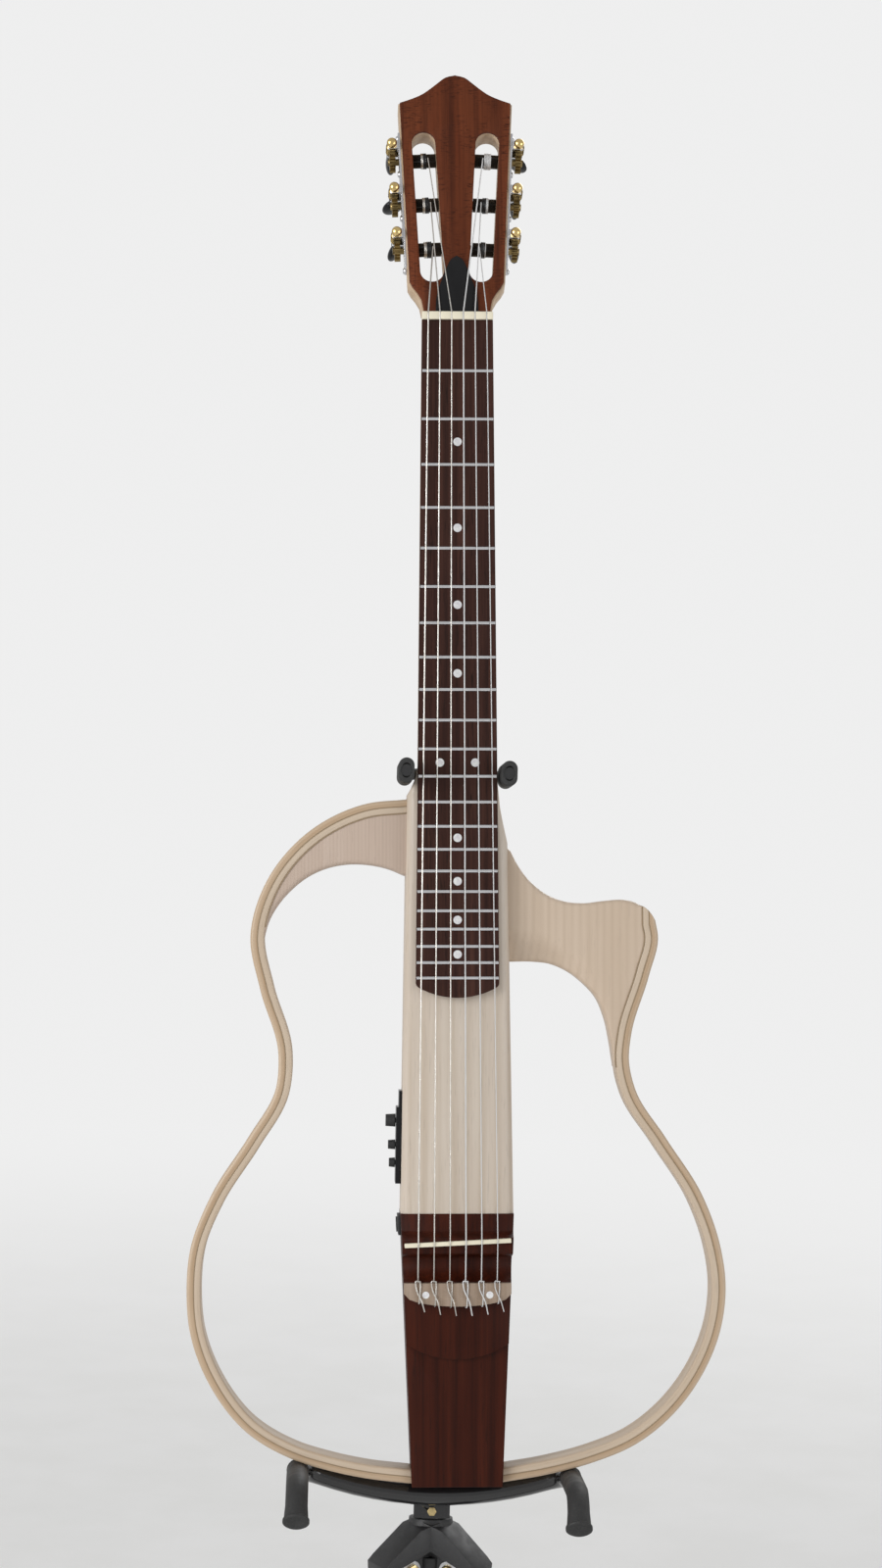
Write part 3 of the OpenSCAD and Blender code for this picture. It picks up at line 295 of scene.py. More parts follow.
# ---- mesh helpers ----
@dataclass
class Shape:
    """Points and faces of a piece in a local millimetre frame, with its wood-grain space.

    Attributes:
        points: Vertex positions.
        faces: Vertex indices of each face.
        grain: Grain-space position of each vertex, metres: across, depth, along.
    """

    points: list[Vector] = field(default_factory=list)
    faces: list[list[int]] = field(default_factory=list)
    grain: list[Vector] = field(default_factory=list)

    def add(self, other: "Shape") -> "Shape":
        """Append another shape.

        Args:
            other: The shape to append.

        Returns:
            This shape.
        """
        base = len(self.points)
        self.points += other.points
        self.grain += other.grain
        self.faces += [[i + base for i in f] for f in other.faces]
        return self


def loft(rings: Sequence[Sequence[Vector]], grain: Sequence[Sequence[Vector]]) -> Shape:
    """Skin through equal rings of points, closed with one face at each end.

    Args:
        rings: Rings with the same number of points.
        grain: Grain-space points for each ring.

    Returns:
        The skinned shape.
    """
    shape, count = Shape(), len(rings[0])
    for ring, places in zip(rings, grain):
        shape.points += ring
        shape.grain += places
    for low in range(0, (len(rings) - 1) * count, count):
        for k in range(count):
            n = (k + 1) % count
            shape.faces.append([low + k, low + n, low + count + n, low + count + k])
    last = (len(rings) - 1) * count
    shape.faces += [list(range(count))[::-1], list(range(last, last + count))]
    return shape


def linked(name: str, data: bpy.types.ID) -> bpy.types.Object:
    """New object in the scene.

    Args:
        name: Object name.
        data: Mesh, lamp or camera data.

    Returns:
        The new object.
    """
    item = bpy.data.objects.new(name, data)
    bpy.context.scene.collection.objects.link(item)
    return item


def make_object(name: str, shape: Shape, matrix: Matrix, material: bpy.types.Material,
                sharp: float = 38.0) -> bpy.types.Object:
    """Turn a shape into a mesh object whose vertices are already in the row frame.

    Args:
        name: Object name.
        shape: Points, faces and grain space.
        matrix: Local millimetre frame to row frame.
        material: Its material.
        sharp: Edges above this angle, in degrees, stay hard.

    Returns:
        The linked object, at the origin and unturned.
    """
    mesh = bpy.data.meshes.new(name)
    mesh.from_pydata([matrix @ p for p in shape.points], [], shape.faces)
    mesh.validate()
    attribute = mesh.attributes.new("grain", "FLOAT_VECTOR", "POINT")
    attribute.data.foreach_set("vector", [c for g in shape.grain for c in g])
    work = bmesh.new()
    work.from_mesh(mesh)
    bmesh.ops.recalc_face_normals(work, faces=work.faces)
    work.to_mesh(mesh)
    work.free()
    mesh.shade_smooth()
    mesh.set_sharp_from_angle(angle=math.radians(sharp))
    mesh.materials.append(material)
    return linked(name, mesh)


# ---- shared shader groups ----
class Graph:
    """Thin typed helper around one node tree."""

    def __init__(self, tree: bpy.types.NodeTree) -> None:
        """Keep the tree that nodes are added to."""
        self.tree = tree

    @classmethod
    def cleared(cls, owner: bpy.types.Material | bpy.types.World) -> "Graph":
        """Emptied node tree of a material or of the surroundings.

        Args:
            owner: Material or surroundings whose nodes are emptied.

        Returns:
            The graph around its tree.
        """
        owner.use_nodes = True
        owner.node_tree.nodes.clear()
        return cls(owner.node_tree)

    def node(self, kind: str, **settings: object) -> bpy.types.Node:
        """Add a node of a type and set its attributes.

        Args:
            kind: The node's type.
            **settings: Attributes by name.

        Returns:
            The new node.
        """
        item = self.tree.nodes.new(kind)
        for key, value in settings.items():
            setattr(item, key, value)
        return item

    def put(self, item: bpy.types.Node, **values: object) -> bpy.types.Node:
        """Set or link inputs of a node.

        Args:
            item: The node.
            **values: Value or socket by input name, with underscores for spaces, or by i and
                the input's number.

        Returns:
            The same node.
        """
        for key, value in values.items():
            socket = item.inputs[int(key[1:])] if key[0] == "i" and key[1:].isdigit() \
                else item.inputs[key.replace("_", " ")]
            if isinstance(value, bpy.types.NodeSocket):
                self.tree.links.new(value, socket)
            else:
                socket.default_value = value
        return item

    def group(self, tree: bpy.types.NodeTree, **values: object) -> Sockets:
        """Use a node group with these inputs and give its outputs."""
        return self.put(self.node("ShaderNodeGroup", node_tree=tree), **values).outputs

    def math(self, operation: str, a: object, b: object = 0.0) -> bpy.types.NodeSocket:
        """Math node on two values."""
        return self.put(self.node("ShaderNodeMath", operation=operation), i0=a, i1=b).outputs[0]

    def add(self, a: object, b: object) -> bpy.types.NodeSocket:
        """Sum of two values."""
        return self.math("ADD", a, b)

    def mul(self, a: object, b: object) -> bpy.types.NodeSocket:
        """Product of two values."""
        return self.math("MULTIPLY", a, b)

    def ramp(self, value: object, low: float, high: float, out_low: float = 0.0,
             out_high: float = 1.0) -> bpy.types.NodeSocket:
        """Smooth map of a value from low..high to out_low..out_high.

        Args:
            value: The value.
            low: Value that gives out_low.
            high: Value that gives out_high.
            out_low: Result at low.
            out_high: Result at high.

        Returns:
            The mapped value.
        """
        item = self.node("ShaderNodeMapRange", interpolation_type="SMOOTHSTEP")
        return self.put(item, Value=value, From_Min=low, From_Max=high, To_Min=out_low,
                        To_Max=out_high).outputs["Result"]

    def noise(self, vector: object, scale: object, detail: float = 3.0, rough: float = 0.55
              ) -> bpy.types.NodeSocket:
        """Noise value of a vector."""
        return self.put(self.node("ShaderNodeTexNoise"), Vector=vector, Scale=scale,
                        Detail=detail, Roughness=rough).outputs["Fac"]

    def drawn(self, vector: object, share: float, scale: float, detail: float = 3.0,
              rough: float = 0.55) -> bpy.types.NodeSocket:
        """Noise drawn out along the third axis, where it keeps a share of its change."""
        return self.noise(self.stretch(vector, (1.0, 1.0, share)), scale, detail, rough)

    def mix(self, factor: object, a: object, b: object) -> bpy.types.NodeSocket:
        """Colour mix."""
        item = self.node("ShaderNodeMix", data_type="RGBA")
        return self.put(item, i0=factor, i6=a, i7=b).outputs[2]

    def stretch(self, vector: object, scale: Point, turn: Point = (0.0, 0.0, 0.0)
                ) -> bpy.types.NodeSocket:
        """Mapping of a vector: turned by degrees, then scaled.

        Args:
            vector: The vector.
            scale: Factor on each axis.
            turn: Angle about each axis, degrees.

        Returns:
            The mapped vector.
        """
        if any(turn):
            angles = tuple(math.radians(a) for a in turn)
            vector = self.put(self.node("ShaderNodeMapping"), Vector=vector,
                              Rotation=angles).outputs[0]
        return self.put(self.node("ShaderNodeMapping"), Vector=vector, Scale=scale).outputs[0]


def open_group(name: str, kind: str, inputs: Labels, outputs: Labels
               ) -> tuple[Graph, Sockets, bpy.types.Node]:
    """Start a new node group.

    Args:
        name: Group name.
        kind: Type of the tree.
        inputs: Label and socket type of each input.
        outputs: Label and socket type of each output.

    Returns:
        The graph, the group's input sockets and its output node.
    """
    tree = bpy.data.node_groups.new(name, kind)
    for way, labels in (("INPUT", inputs), ("OUTPUT", outputs)):
        for label, socket in labels:
            tree.interface.new_socket(label, in_out=way, socket_type="NodeSocket" + socket)
    g = Graph(tree)
    return g, g.node("NodeGroupInput").outputs, g.node("NodeGroupOutput")


class Groups:
    """Shader groups used by several finishes, each built once."""

    @staticmethod
    @cache
    def wood() -> bpy.types.NodeTree:
        """Wood figure: growth bands, fibres, pores, mottle and flecks along the third axis.

        Returns:
            The group, built on first use.
        """
        value, colour = "Float", "Color"
        g, i, o = open_group("wood figure", "ShaderNodeTree", (
            ("Vector", "Vector"), ("Light", colour), ("Middle", colour), ("Dark", colour),
            ("Band Width", value), ("Fibre", value), ("Pores", value), ("Mottle", value),
            ("Flecks", value)), (("Color", colour), ("Height", value), ("Sheen", value)))
        v, dark = i["Vector"], i["Dark"]
        across = g.put(g.node("ShaderNodeSeparateXYZ"), Vector=v).outputs
        lane = g.add(across["X"], g.mul(across["Y"], 0.35))
        wave = g.add(g.math("DIVIDE", lane, i["Band Width"]),
                     g.mul(g.drawn(v, 0.05, 26.0), 7.0))
        band = g.math("POWER", g.mul(g.add(g.math("SINE", wave), 1.0), 0.5), 1.6)
        streak = g.drawn(v, 0.02, 420.0, 4.0, 0.6)
        base = g.mix(g.ramp(g.drawn(v, 0.08, 60.0), 0.32, 0.68), i["Light"], i["Middle"])
        base = g.mix(g.mul(band, g.ramp(streak, 0.3, 0.75, 0.25, 0.75)), base, dark)
        fibre = g.ramp(streak, 0.36, 0.66)
        base = g.mix(g.mul(fibre, g.mul(i["Fibre"], 0.5)), base, dark)
        pit = g.mul(g.ramp(g.drawn(v, 0.06, 900.0, 2.0), 0.6, 0.7), i["Pores"])
        base = g.mix(pit, base, g.mix(0.7, dark, (0.01, 0.005, 0.003, 1)))
        cloud = g.ramp(g.drawn(v, 0.45, 48.0, 4.0), 0.35, 0.65)
        base = g.mix(g.mul(cloud, i["Mottle"]), base, g.mix(0.55, dark, i["Light"]))
        ray = g.ramp(g.noise(g.stretch(v, (0.16, 0.16, 1.0)), 1500.0, 2.0, 0.6), 0.5, 0.68)
        patch = g.ramp(g.drawn(v, 0.35, 95.0, 2.0), 0.38, 0.6)
        base = g.mix(g.mul(ray, g.mul(patch, i["Flecks"])), base, dark)
        g.put(o, Color=base, Height=g.math("SUBTRACT", g.mul(streak, 0.5), pit),
              Sheen=g.mul(fibre, 0.5))
        return g.tree

    @staticmethod
    @cache
    def edges() -> bpy.types.NodeTree:
        """Edge mask and softened normal from a small rounding radius.

        Returns:
            The group, built on first use.
        """
        g, i, o = open_group("soft edge", "ShaderNodeTree", (("Radius", "Float"),),
                             (("Mask", "Float"), ("Normal", "Vector")))
        soft = g.put(g.node("ShaderNodeBevel", samples=4), Radius=i["Radius"]).outputs[0]
        dot = g.put(g.node("ShaderNodeVectorMath", operation="DOT_PRODUCT"), i0=soft,
                    i1=g.node("ShaderNodeNewGeometry").outputs["Normal"])
        g.put(o, Mask=g.ramp(dot.outputs["Value"], 0.995, 0.8), Normal=soft)
        return g.tree

    @staticmethod
    @cache
    def grime() -> bpy.types.NodeTree:
        """Uneven polish: broad smudges, fine scratches and dust specks.

        Returns:
            The group, built on first use.
        """
        value = "Float"
        g, i, o = open_group("handling", "ShaderNodeTree", (
            ("Vector", "Vector"), ("Scale", value), ("Dust", value)),
            (("Smudge", value), ("Scratch", value), ("Dust", value)))
        v = i["Vector"]
        hair = g.noise(g.stretch(v, (1.0, 1.0, 0.08), (20.0, 31.0, 0.0)), 1500.0, 2.0)
        g.put(o, Smudge=g.ramp(g.noise(v, i["Scale"], 5.0, 0.6), 0.35, 0.7),
              Scratch=g.ramp(hair, 0.58, 0.75),
              Dust=g.mul(g.ramp(g.noise(v, 2600.0, 1.0), 0.68, 0.76), i["Dust"]))
        return g.tree


def rgba(colour: Colour) -> tuple[float, float, float, float]:
    """Colour with full alpha."""
    return (colour[0], colour[1], colour[2], 1.0)


class Space(Enum):
    """Where a pattern takes its coordinates from."""

    GUITAR = (8.0, 1.8, 0.0)
    HEAD = (20.0, 1.8, 0.0)
    ROW = (0.0, 0.0, 0.0)
    GRAIN = (0.0, 0.0, 0.0, 1.0)


def pattern_vector(g: Graph, space: Space) -> bpy.types.NodeSocket:
    """Coordinates of a pattern in metres, third axis along the grain.

    Args:
        g: The graph that the nodes go in.
        space: Where the coordinates come from.

    Returns:
        The coordinates.
    """
    if space is Space.GRAIN:
        return g.node("ShaderNodeAttribute", attribute_name="grain").outputs["Vector"]
    coordinate = g.node("ShaderNodeTexCoord").outputs["Object"]
    turn = space.value[:3]
    return g.stretch(coordinate, (1.0, 1.0, 1.0), turn) if any(turn) else coordinate


class Finish:
    """Base of every finish: makes its material once."""

    name: str

    def material(self) -> bpy.types.Material:
        """The finish's material, built on first use.

        Returns:
            The material.
        """
        name = self.name + "_finish"
        if name not in bpy.data.materials:
            g = Graph.cleared(bpy.data.materials.new(name))
            shader = g.node("ShaderNodeBsdfPrincipled")
            g.put(g.node("ShaderNodeOutputMaterial"), Surface=shader.outputs[0])
            self.build(g, shader)
        return bpy.data.materials[name]

    def build(self, g: Graph, shader: bpy.types.Node) -> None:
        """Wire the finish into its shader."""
        raise NotImplementedError


@dataclass(frozen=True)
class Wood(Finish):
    """Satin-finished wood.

    Attributes:
        name: Material name.
        light: Lightest colour.
        middle: Broad middle colour.
        dark: Growth-line colour.
        space: Where the grain runs.
        band: Growth-band width, metres.
        fibre: Strength of fine streaks.
        pores: Strength of open pores.
        mottle: Strength of clouded figure.
        rough: Roughness.
        wear: How far arrises are paler.
        relief: Height of the grain, metres.
        shine: Specular level.
        flecks: Strength of short flecks across the grain.
        arris: Radius of the softened arrises, metres.
    """

    name: str
    light: Colour
    middle: Colour
    dark: Colour
    space: Space = Space.GUITAR
    band: float = 0.0012
    fibre: float = 0.5
    pores: float = 0.15
    mottle: float = 0.2
    rough: float = 0.42
    wear: float = 0.35
    relief: float = 0.00005
    shine: float = 0.35
    flecks: float = 0.0
    arris: float = 0.0007

    def build(self, g: Graph, shader: bpy.types.Node) -> None:
        """Wire figure, worn arrises and fine relief.

        Args:
            g: The graph that the nodes go in.
            shader: The finish's surface shader.
        """
        vector = pattern_vector(g, self.space)
        figure = g.group(Groups.wood(), Vector=vector, Light=rgba(self.light),
                         Middle=rgba(self.middle), Dark=rgba(self.dark), Band_Width=self.band,
                         Fibre=self.fibre, Pores=self.pores, Mottle=self.mottle,
                         Flecks=self.flecks)
        edge = g.group(Groups.edges(), Radius=self.arris)
        paler = tuple(min(1.0, c * 1.15 + 0.05) for c in self.light)
        colour = g.mix(g.mul(edge["Mask"], self.wear), figure["Color"], rgba(paler))
        hand = g.group(Groups.grime(), Vector=vector, Scale=35.0, Dust=0.0)
        rough = g.add(g.mul(hand["Smudge"], 0.1), g.mul(figure["Sheen"], 0.12))
        bump = g.put(g.node("ShaderNodeBump"), Height=figure["Height"], Distance=self.relief,
                     Strength=0.6, Normal=edge["Normal"])
        g.put(shader, Base_Color=colour, Roughness=g.add(rough, self.rough - 0.08),
              Normal=bump.outputs[0], Specular_IOR_Level=self.shine)


@dataclass(frozen=True)
class Metal(Finish):
    """Plated or bare metal with handling marks."""

    name: str
    colour: Colour
    rough: float = 0.16
    tarnish: Colour = (0.25, 0.22, 0.18)
    tarnish_amount: float = 0.25
    arris: float = 0.0003

    def build(self, g: Graph, shader: bpy.types.Node) -> None:
        """Wire tarnish, smudges, fine scratches and softened edges.

        Args:
            g: The graph that the nodes go in.
            shader: The finish's surface shader.
        """
        hand = g.group(Groups.grime(), Vector=pattern_vector(g, Space.ROW), Scale=160.0, Dust=0.3)
        colour = g.mix(g.mul(hand["Smudge"], self.tarnish_amount), rgba(self.colour),
                       rgba(self.tarnish))
        rough = g.add(g.mul(hand["Smudge"], 0.14), g.mul(hand["Scratch"], 0.1))
        edge = g.group(Groups.edges(), Radius=self.arris)
        bump = g.put(g.node("ShaderNodeBump"), Height=hand["Scratch"], Distance=0.00001,
                     Strength=0.3, Normal=edge["Normal"])
        g.put(shader, Base_Color=colour, Metallic=1.0, Normal=bump.outputs[0],
              Roughness=g.add(rough, self.rough))


@dataclass(frozen=True)
class Plastic(Finish):
    """Moulded plastic, bone or rubber, from mirror gloss to dull.

    Attributes:
        name: Material name.
        colour: Body colour.
        rough: Mean roughness.
        grain: Height of the moulded texture, metres.
        grain_scale: How fine the texture is, per metre.
        dust: Pale dust amount.
        edge_tone: Colour of rubbed edges.
        edge_amount: Strength of the rubbed edges.
        coat: Clear gloss weight.
        arris: Edge softening radius, metres.
        shine: Specular level.
    """

    name: str
    colour: Colour
    rough: float = 0.3
    grain: float = 0.0
    grain_scale: float = 900.0
    dust: float = 0.15
    edge_tone: Colour = (0.2, 0.2, 0.2)
    edge_amount: float = 0.15
    coat: float = 0.0
    arris: float = 0.0004
    shine: float = 0.5

    def build(self, g: Graph, shader: bpy.types.Node) -> None:
        """Wire texture, dust and edge rub.

        Args:
            g: The graph that the nodes go in.
            shader: The finish's surface shader.
        """
        vector = pattern_vector(g, Space.ROW)
        hand = g.group(Groups.grime(), Vector=vector, Scale=90.0, Dust=self.dust)
        edge = g.group(Groups.edges(), Radius=self.arris)
        tone = g.mul(g.ramp(g.noise(vector, 22.0), 0.3, 0.7), 0.35)
        colour = g.mix(tone, rgba(self.colour),
                       rgba(tuple(c * 1.25 + 0.004 for c in self.colour)))
        colour = g.mix(g.mul(edge["Mask"], self.edge_amount), colour, rgba(self.edge_tone))
        colour = g.mix(hand["Dust"], colour, (0.45, 0.43, 0.4, 1.0))
        rough = g.add(g.mul(hand["Smudge"], 0.16), g.mul(hand["Scratch"], 0.08))
        bump = g.put(g.node("ShaderNodeBump"), Height=g.noise(vector, self.grain_scale, 2.0),
                     Strength=0.7, Distance=max(self.grain, 0.000002), Normal=edge["Normal"])
        g.put(shader, Base_Color=colour, Normal=bump.outputs[0], Coat_Weight=self.coat,
              Coat_Roughness=0.05, Roughness=g.add(rough, self.rough - 0.06),
              Specular_IOR_Level=self.shine)


@dataclass(frozen=True)
class Pearl(Finish):
    """Shell inlay with faint shifting clouds."""

    name: str

    def build(self, g: Graph, shader: bpy.types.Node) -> None:
        """Wire cloudy pale colours and a gloss coat.

        Args:
            g: The graph that the nodes go in.
            shader: The finish's surface shader.
        """
        cloud = g.noise(pattern_vector(g, Space.ROW), 420.0, 4.0, 0.7)
        colour = g.mix(g.ramp(cloud, 0.35, 0.65), (0.86, 0.88, 0.86, 1), (0.7, 0.68, 0.72, 1))
        bump = g.put(g.node("ShaderNodeBump"), Height=cloud, Distance=0.00003, Strength=0.3)
        g.put(shader, Base_Color=colour, Normal=bump.outputs[0], Coat_Weight=0.6,
              Roughness=g.ramp(cloud, 0.3, 0.7, 0.16, 0.3))


class Finishes:
    """All finishes of the object."""

    beam = Wood("beam_maple", (0.66, 0.58, 0.495), (0.61, 0.52, 0.435), (0.5, 0.41, 0.315),
                band=0.0016, fibre=0.35, mottle=0.12, rough=0.42)
    neck = Wood("neck_maple", (0.7, 0.57, 0.43), (0.62, 0.48, 0.34), (0.48, 0.34, 0.21),
                band=0.0014, rough=0.42)
    head = Wood("head_maple", (0.68, 0.53, 0.38), (0.6, 0.44, 0.29), (0.42, 0.28, 0.16),
                space=Space.HEAD, band=0.0014, rough=0.44)
    left_wing = Wood("left_wing_wood", (0.59, 0.475, 0.395), (0.55, 0.435, 0.355),
                     (0.485, 0.375, 0.3), band=0.0004, fibre=0.35, mottle=0.08, pores=0.12)
    right_wing = Wood("right_wing_wood", (0.63, 0.51, 0.4), (0.585, 0.465, 0.355),
                      (0.53, 0.415, 0.31), band=0.0009, fibre=0.25, mottle=0.1, pores=0.08)
    outer_rim = Wood("outer_rim_wood", (0.6, 0.465, 0.335), (0.54, 0.405, 0.275),
                     (0.42, 0.28, 0.165), space=Space.GRAIN, band=0.0013, fibre=0.45,
                     mottle=0.12, rough=0.4)
    inner_rim = Wood("inner_rim_wood", (0.63, 0.52, 0.405), (0.57, 0.455, 0.34),
                     (0.45, 0.33, 0.22), space=Space.GRAIN, band=0.0012, fibre=0.4,
                     mottle=0.12, rough=0.42)
    veneer = Wood("redwood_veneer", (0.2, 0.053, 0.02), (0.12, 0.028, 0.01),
                  (0.04, 0.01, 0.0045), space=Space.HEAD, band=0.0026, fibre=0.8, mottle=0.4,
                  pores=0.3, rough=0.5, wear=0.1, shine=0.13, flecks=0.9)
    tail = Wood("redwood_block", (0.066, 0.0125, 0.005), (0.04, 0.0068, 0.0026),
                (0.014, 0.0028, 0.0014), band=0.002, fibre=0.8, mottle=0.35, pores=0.5,
                rough=0.42, wear=0.12, shine=0.14)
    rosewood = Wood("rosewood", (0.075, 0.03, 0.021), (0.045, 0.017, 0.012),
                    (0.016, 0.006, 0.005), band=0.0011, fibre=1.0, mottle=0.3, pores=0.8,
                    rough=0.55, wear=0.1, shine=0.15)
    bridge = Wood("bridge_maple", (0.4, 0.31, 0.245), (0.35, 0.265, 0.2), (0.26, 0.18, 0.12),
                  band=0.0014, rough=0.42)
    glue = Plastic("glue_line", (0.3, 0.215, 0.13), 0.5, dust=0.0, edge_amount=0.0)
    nickel = Metal("nickel", (0.72, 0.72, 0.74), 0.14)
    fret_wire = Metal("fret_wire", (0.82, 0.82, 0.84), 0.12, tarnish_amount=0.12)
    gilt = Metal("gilt", (0.83, 0.62, 0.27), 0.14, (0.35, 0.2, 0.07), 0.3)
    # Gilt darkened as painted shade for the worm threads and gear teeth, with random tarnish
    # mottling on top.
    gilt_painted_shade = Metal("gilt_with_painted_shade", (0.36, 0.26, 0.11), 0.28, (0.07, 0.05, 0.025), 0.8)
    zinc = Metal("zinc", (0.62, 0.62, 0.63), 0.32, (0.3, 0.3, 0.3), 0.5)
    brass = Metal("brass_bolt", (0.7, 0.55, 0.28), 0.26, (0.3, 0.22, 0.1), 0.45)
    wound = Metal("wound_wire", (0.74, 0.72, 0.68), 0.26, (0.4, 0.36, 0.3), 0.3)
    nylon = Plastic("nylon_string", (0.62, 0.62, 0.62), 0.16, dust=0.0, edge_amount=0.0)
    bone = Plastic("bone", (0.8, 0.74, 0.58), 0.32, edge_tone=(0.86, 0.82, 0.7),
                   edge_amount=0.4, dust=0.0)
    pearl = Pearl("pearl")
    gloss = Plastic("gloss_black", (0.009, 0.009, 0.01), 0.12, coat=0.05, dust=0.04,
                    shine=0.22)
    roller = Plastic("roller_black", (0.015, 0.015, 0.016), 0.3, dust=0.1, shine=0.3)
    moulded = Plastic("moulded_black", (0.022, 0.022, 0.023), 0.5, grain=0.00006, dust=0.25,
                      edge_tone=(0.12, 0.12, 0.12), edge_amount=0.5)
    paint = Plastic("black_paint", (0.014, 0.014, 0.015), 0.14, grain=0.00001,
                    grain_scale=500.0, dust=0.12, coat=0.5, edge_tone=(0.35, 0.34, 0.32))
    rubber = Plastic("rubber", (0.02, 0.02, 0.02), 0.62, grain=0.00005, grain_scale=1600.0,
                     dust=0.3, edge_tone=(0.09, 0.09, 0.09), edge_amount=0.4)


# ---- dressing the CAD nodes ----
class Frame:
    """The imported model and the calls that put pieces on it."""

    def __init__(self) -> None:
        """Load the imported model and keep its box."""
        self.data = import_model()
        self.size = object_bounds()
        self.body = {n: b for b, ns in self.data["record"]["behaviour"]["bodies"].items()
                     for n in ns}
        self.slots = {s["node"]: s["material_slot"] for s in self.data["record"]["subparts"]}

    def dress(self, node: str, finish: Finish) -> None:
        """Give a CAD node its finish and leave its shape.

        Args:
            node: CAD node.
            finish: Its finish.
        """
        item = self.data["nodes"][node]
        if not item.material_slots:
            item.data.materials.append(finish.material())
        for entry in item.material_slots:
            entry.material = finish.material()
        LOG.info("%s keeps its shape, finish %s", node, finish.name)

    def settle(self, piece: bpy.types.Object, *nodes: str) -> None:
        """Put a piece in place of nodes, on the first one's body.

        Args:
            piece: The new piece.
            *nodes: The CAD nodes it stands for.
        """
        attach(piece, self.body[nodes[0]])
        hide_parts(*nodes)
        LOG.info("%s stands for %s", piece.name, ", ".join(nodes))

    def add(self, piece: bpy.types.Object, node: str) -> None:
        """Add a piece beside a node, on its body.

        Args:
            piece: The new piece.
            node: CAD node that it goes with.
        """
        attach(piece, self.body[node])
        LOG.info("%s goes with %s", piece.name, node)

    def smooth(self, node: str, finish: Finish, angle: float = 38.0, bevel: float = 0.0
               ) -> bpy.types.Object:
        """Welded, smooth-shaded copy of a CAD node that stands for it.

        Args:
            node: CAD node.
            finish: Its finish.
            angle: Edges above this angle, in degrees, stay hard.
            bevel: Arris width in metres, or 0.

        Returns:
            The new piece.
        """
        source = self.data["nodes"][node]
        work = bmesh.new()
        work.from_mesh(source.data)
        work.transform(source.matrix_world)
        bmesh.ops.remove_doubles(work, verts=work.verts, dist=1e-6)
        bmesh.ops.dissolve_degenerate(work, edges=work.edges, dist=1e-7)
        bmesh.ops.dissolve_limit(work, angle_limit=math.radians(0.2), verts=work.verts,
                                 edges=work.edges)
        mesh = bpy.data.meshes.new(node + "_dressed")
        work.to_mesh(mesh)
        work.free()
        piece = linked(node + "_dressed", mesh)
        if bevel:
            step = piece.modifiers.new("arris", "BEVEL")
            step.width, step.segments, step.limit_method = bevel, 2, "ANGLE"
            step.angle_limit = math.radians(40)
            step.use_clamp_overlap = True
            graph = bpy.context.evaluated_depsgraph_get()
            mesh = bpy.data.meshes.new_from_object(piece.evaluated_get(graph))
            piece.modifiers.clear()
            piece.data = mesh
        mesh.shade_smooth()
        mesh.set_sharp_from_angle(angle=math.radians(angle))
        mesh.materials.clear()
        mesh.materials.append(finish.material())
        self.settle(piece, node)
        return piece

    def smooth_all(self, *rows: tuple[str, Finish, float, float]) -> None:
        """Smooth several nodes, each given by name, finish, angle and bevel."""
        for row in rows:
            self.smooth(*row)


def accent(piece: bpy.types.Object, finish: Finish, place: Matrix,
           chosen: Callable[[Vector], bool]) -> None:
    """Give a second finish to the faces whose centre, in a local frame, is chosen.

    Args:
        piece: The piece.
        finish: The second finish.
        place: Local millimetre frame to row frame.
        chosen: Whether the face at a local point takes the second finish.
    """
    piece.data.materials.append(finish.material())
    inverse = place.inverted()
    for face in piece.data.polygons:
        if chosen(inverse @ face.center):
            face.material_index = 1


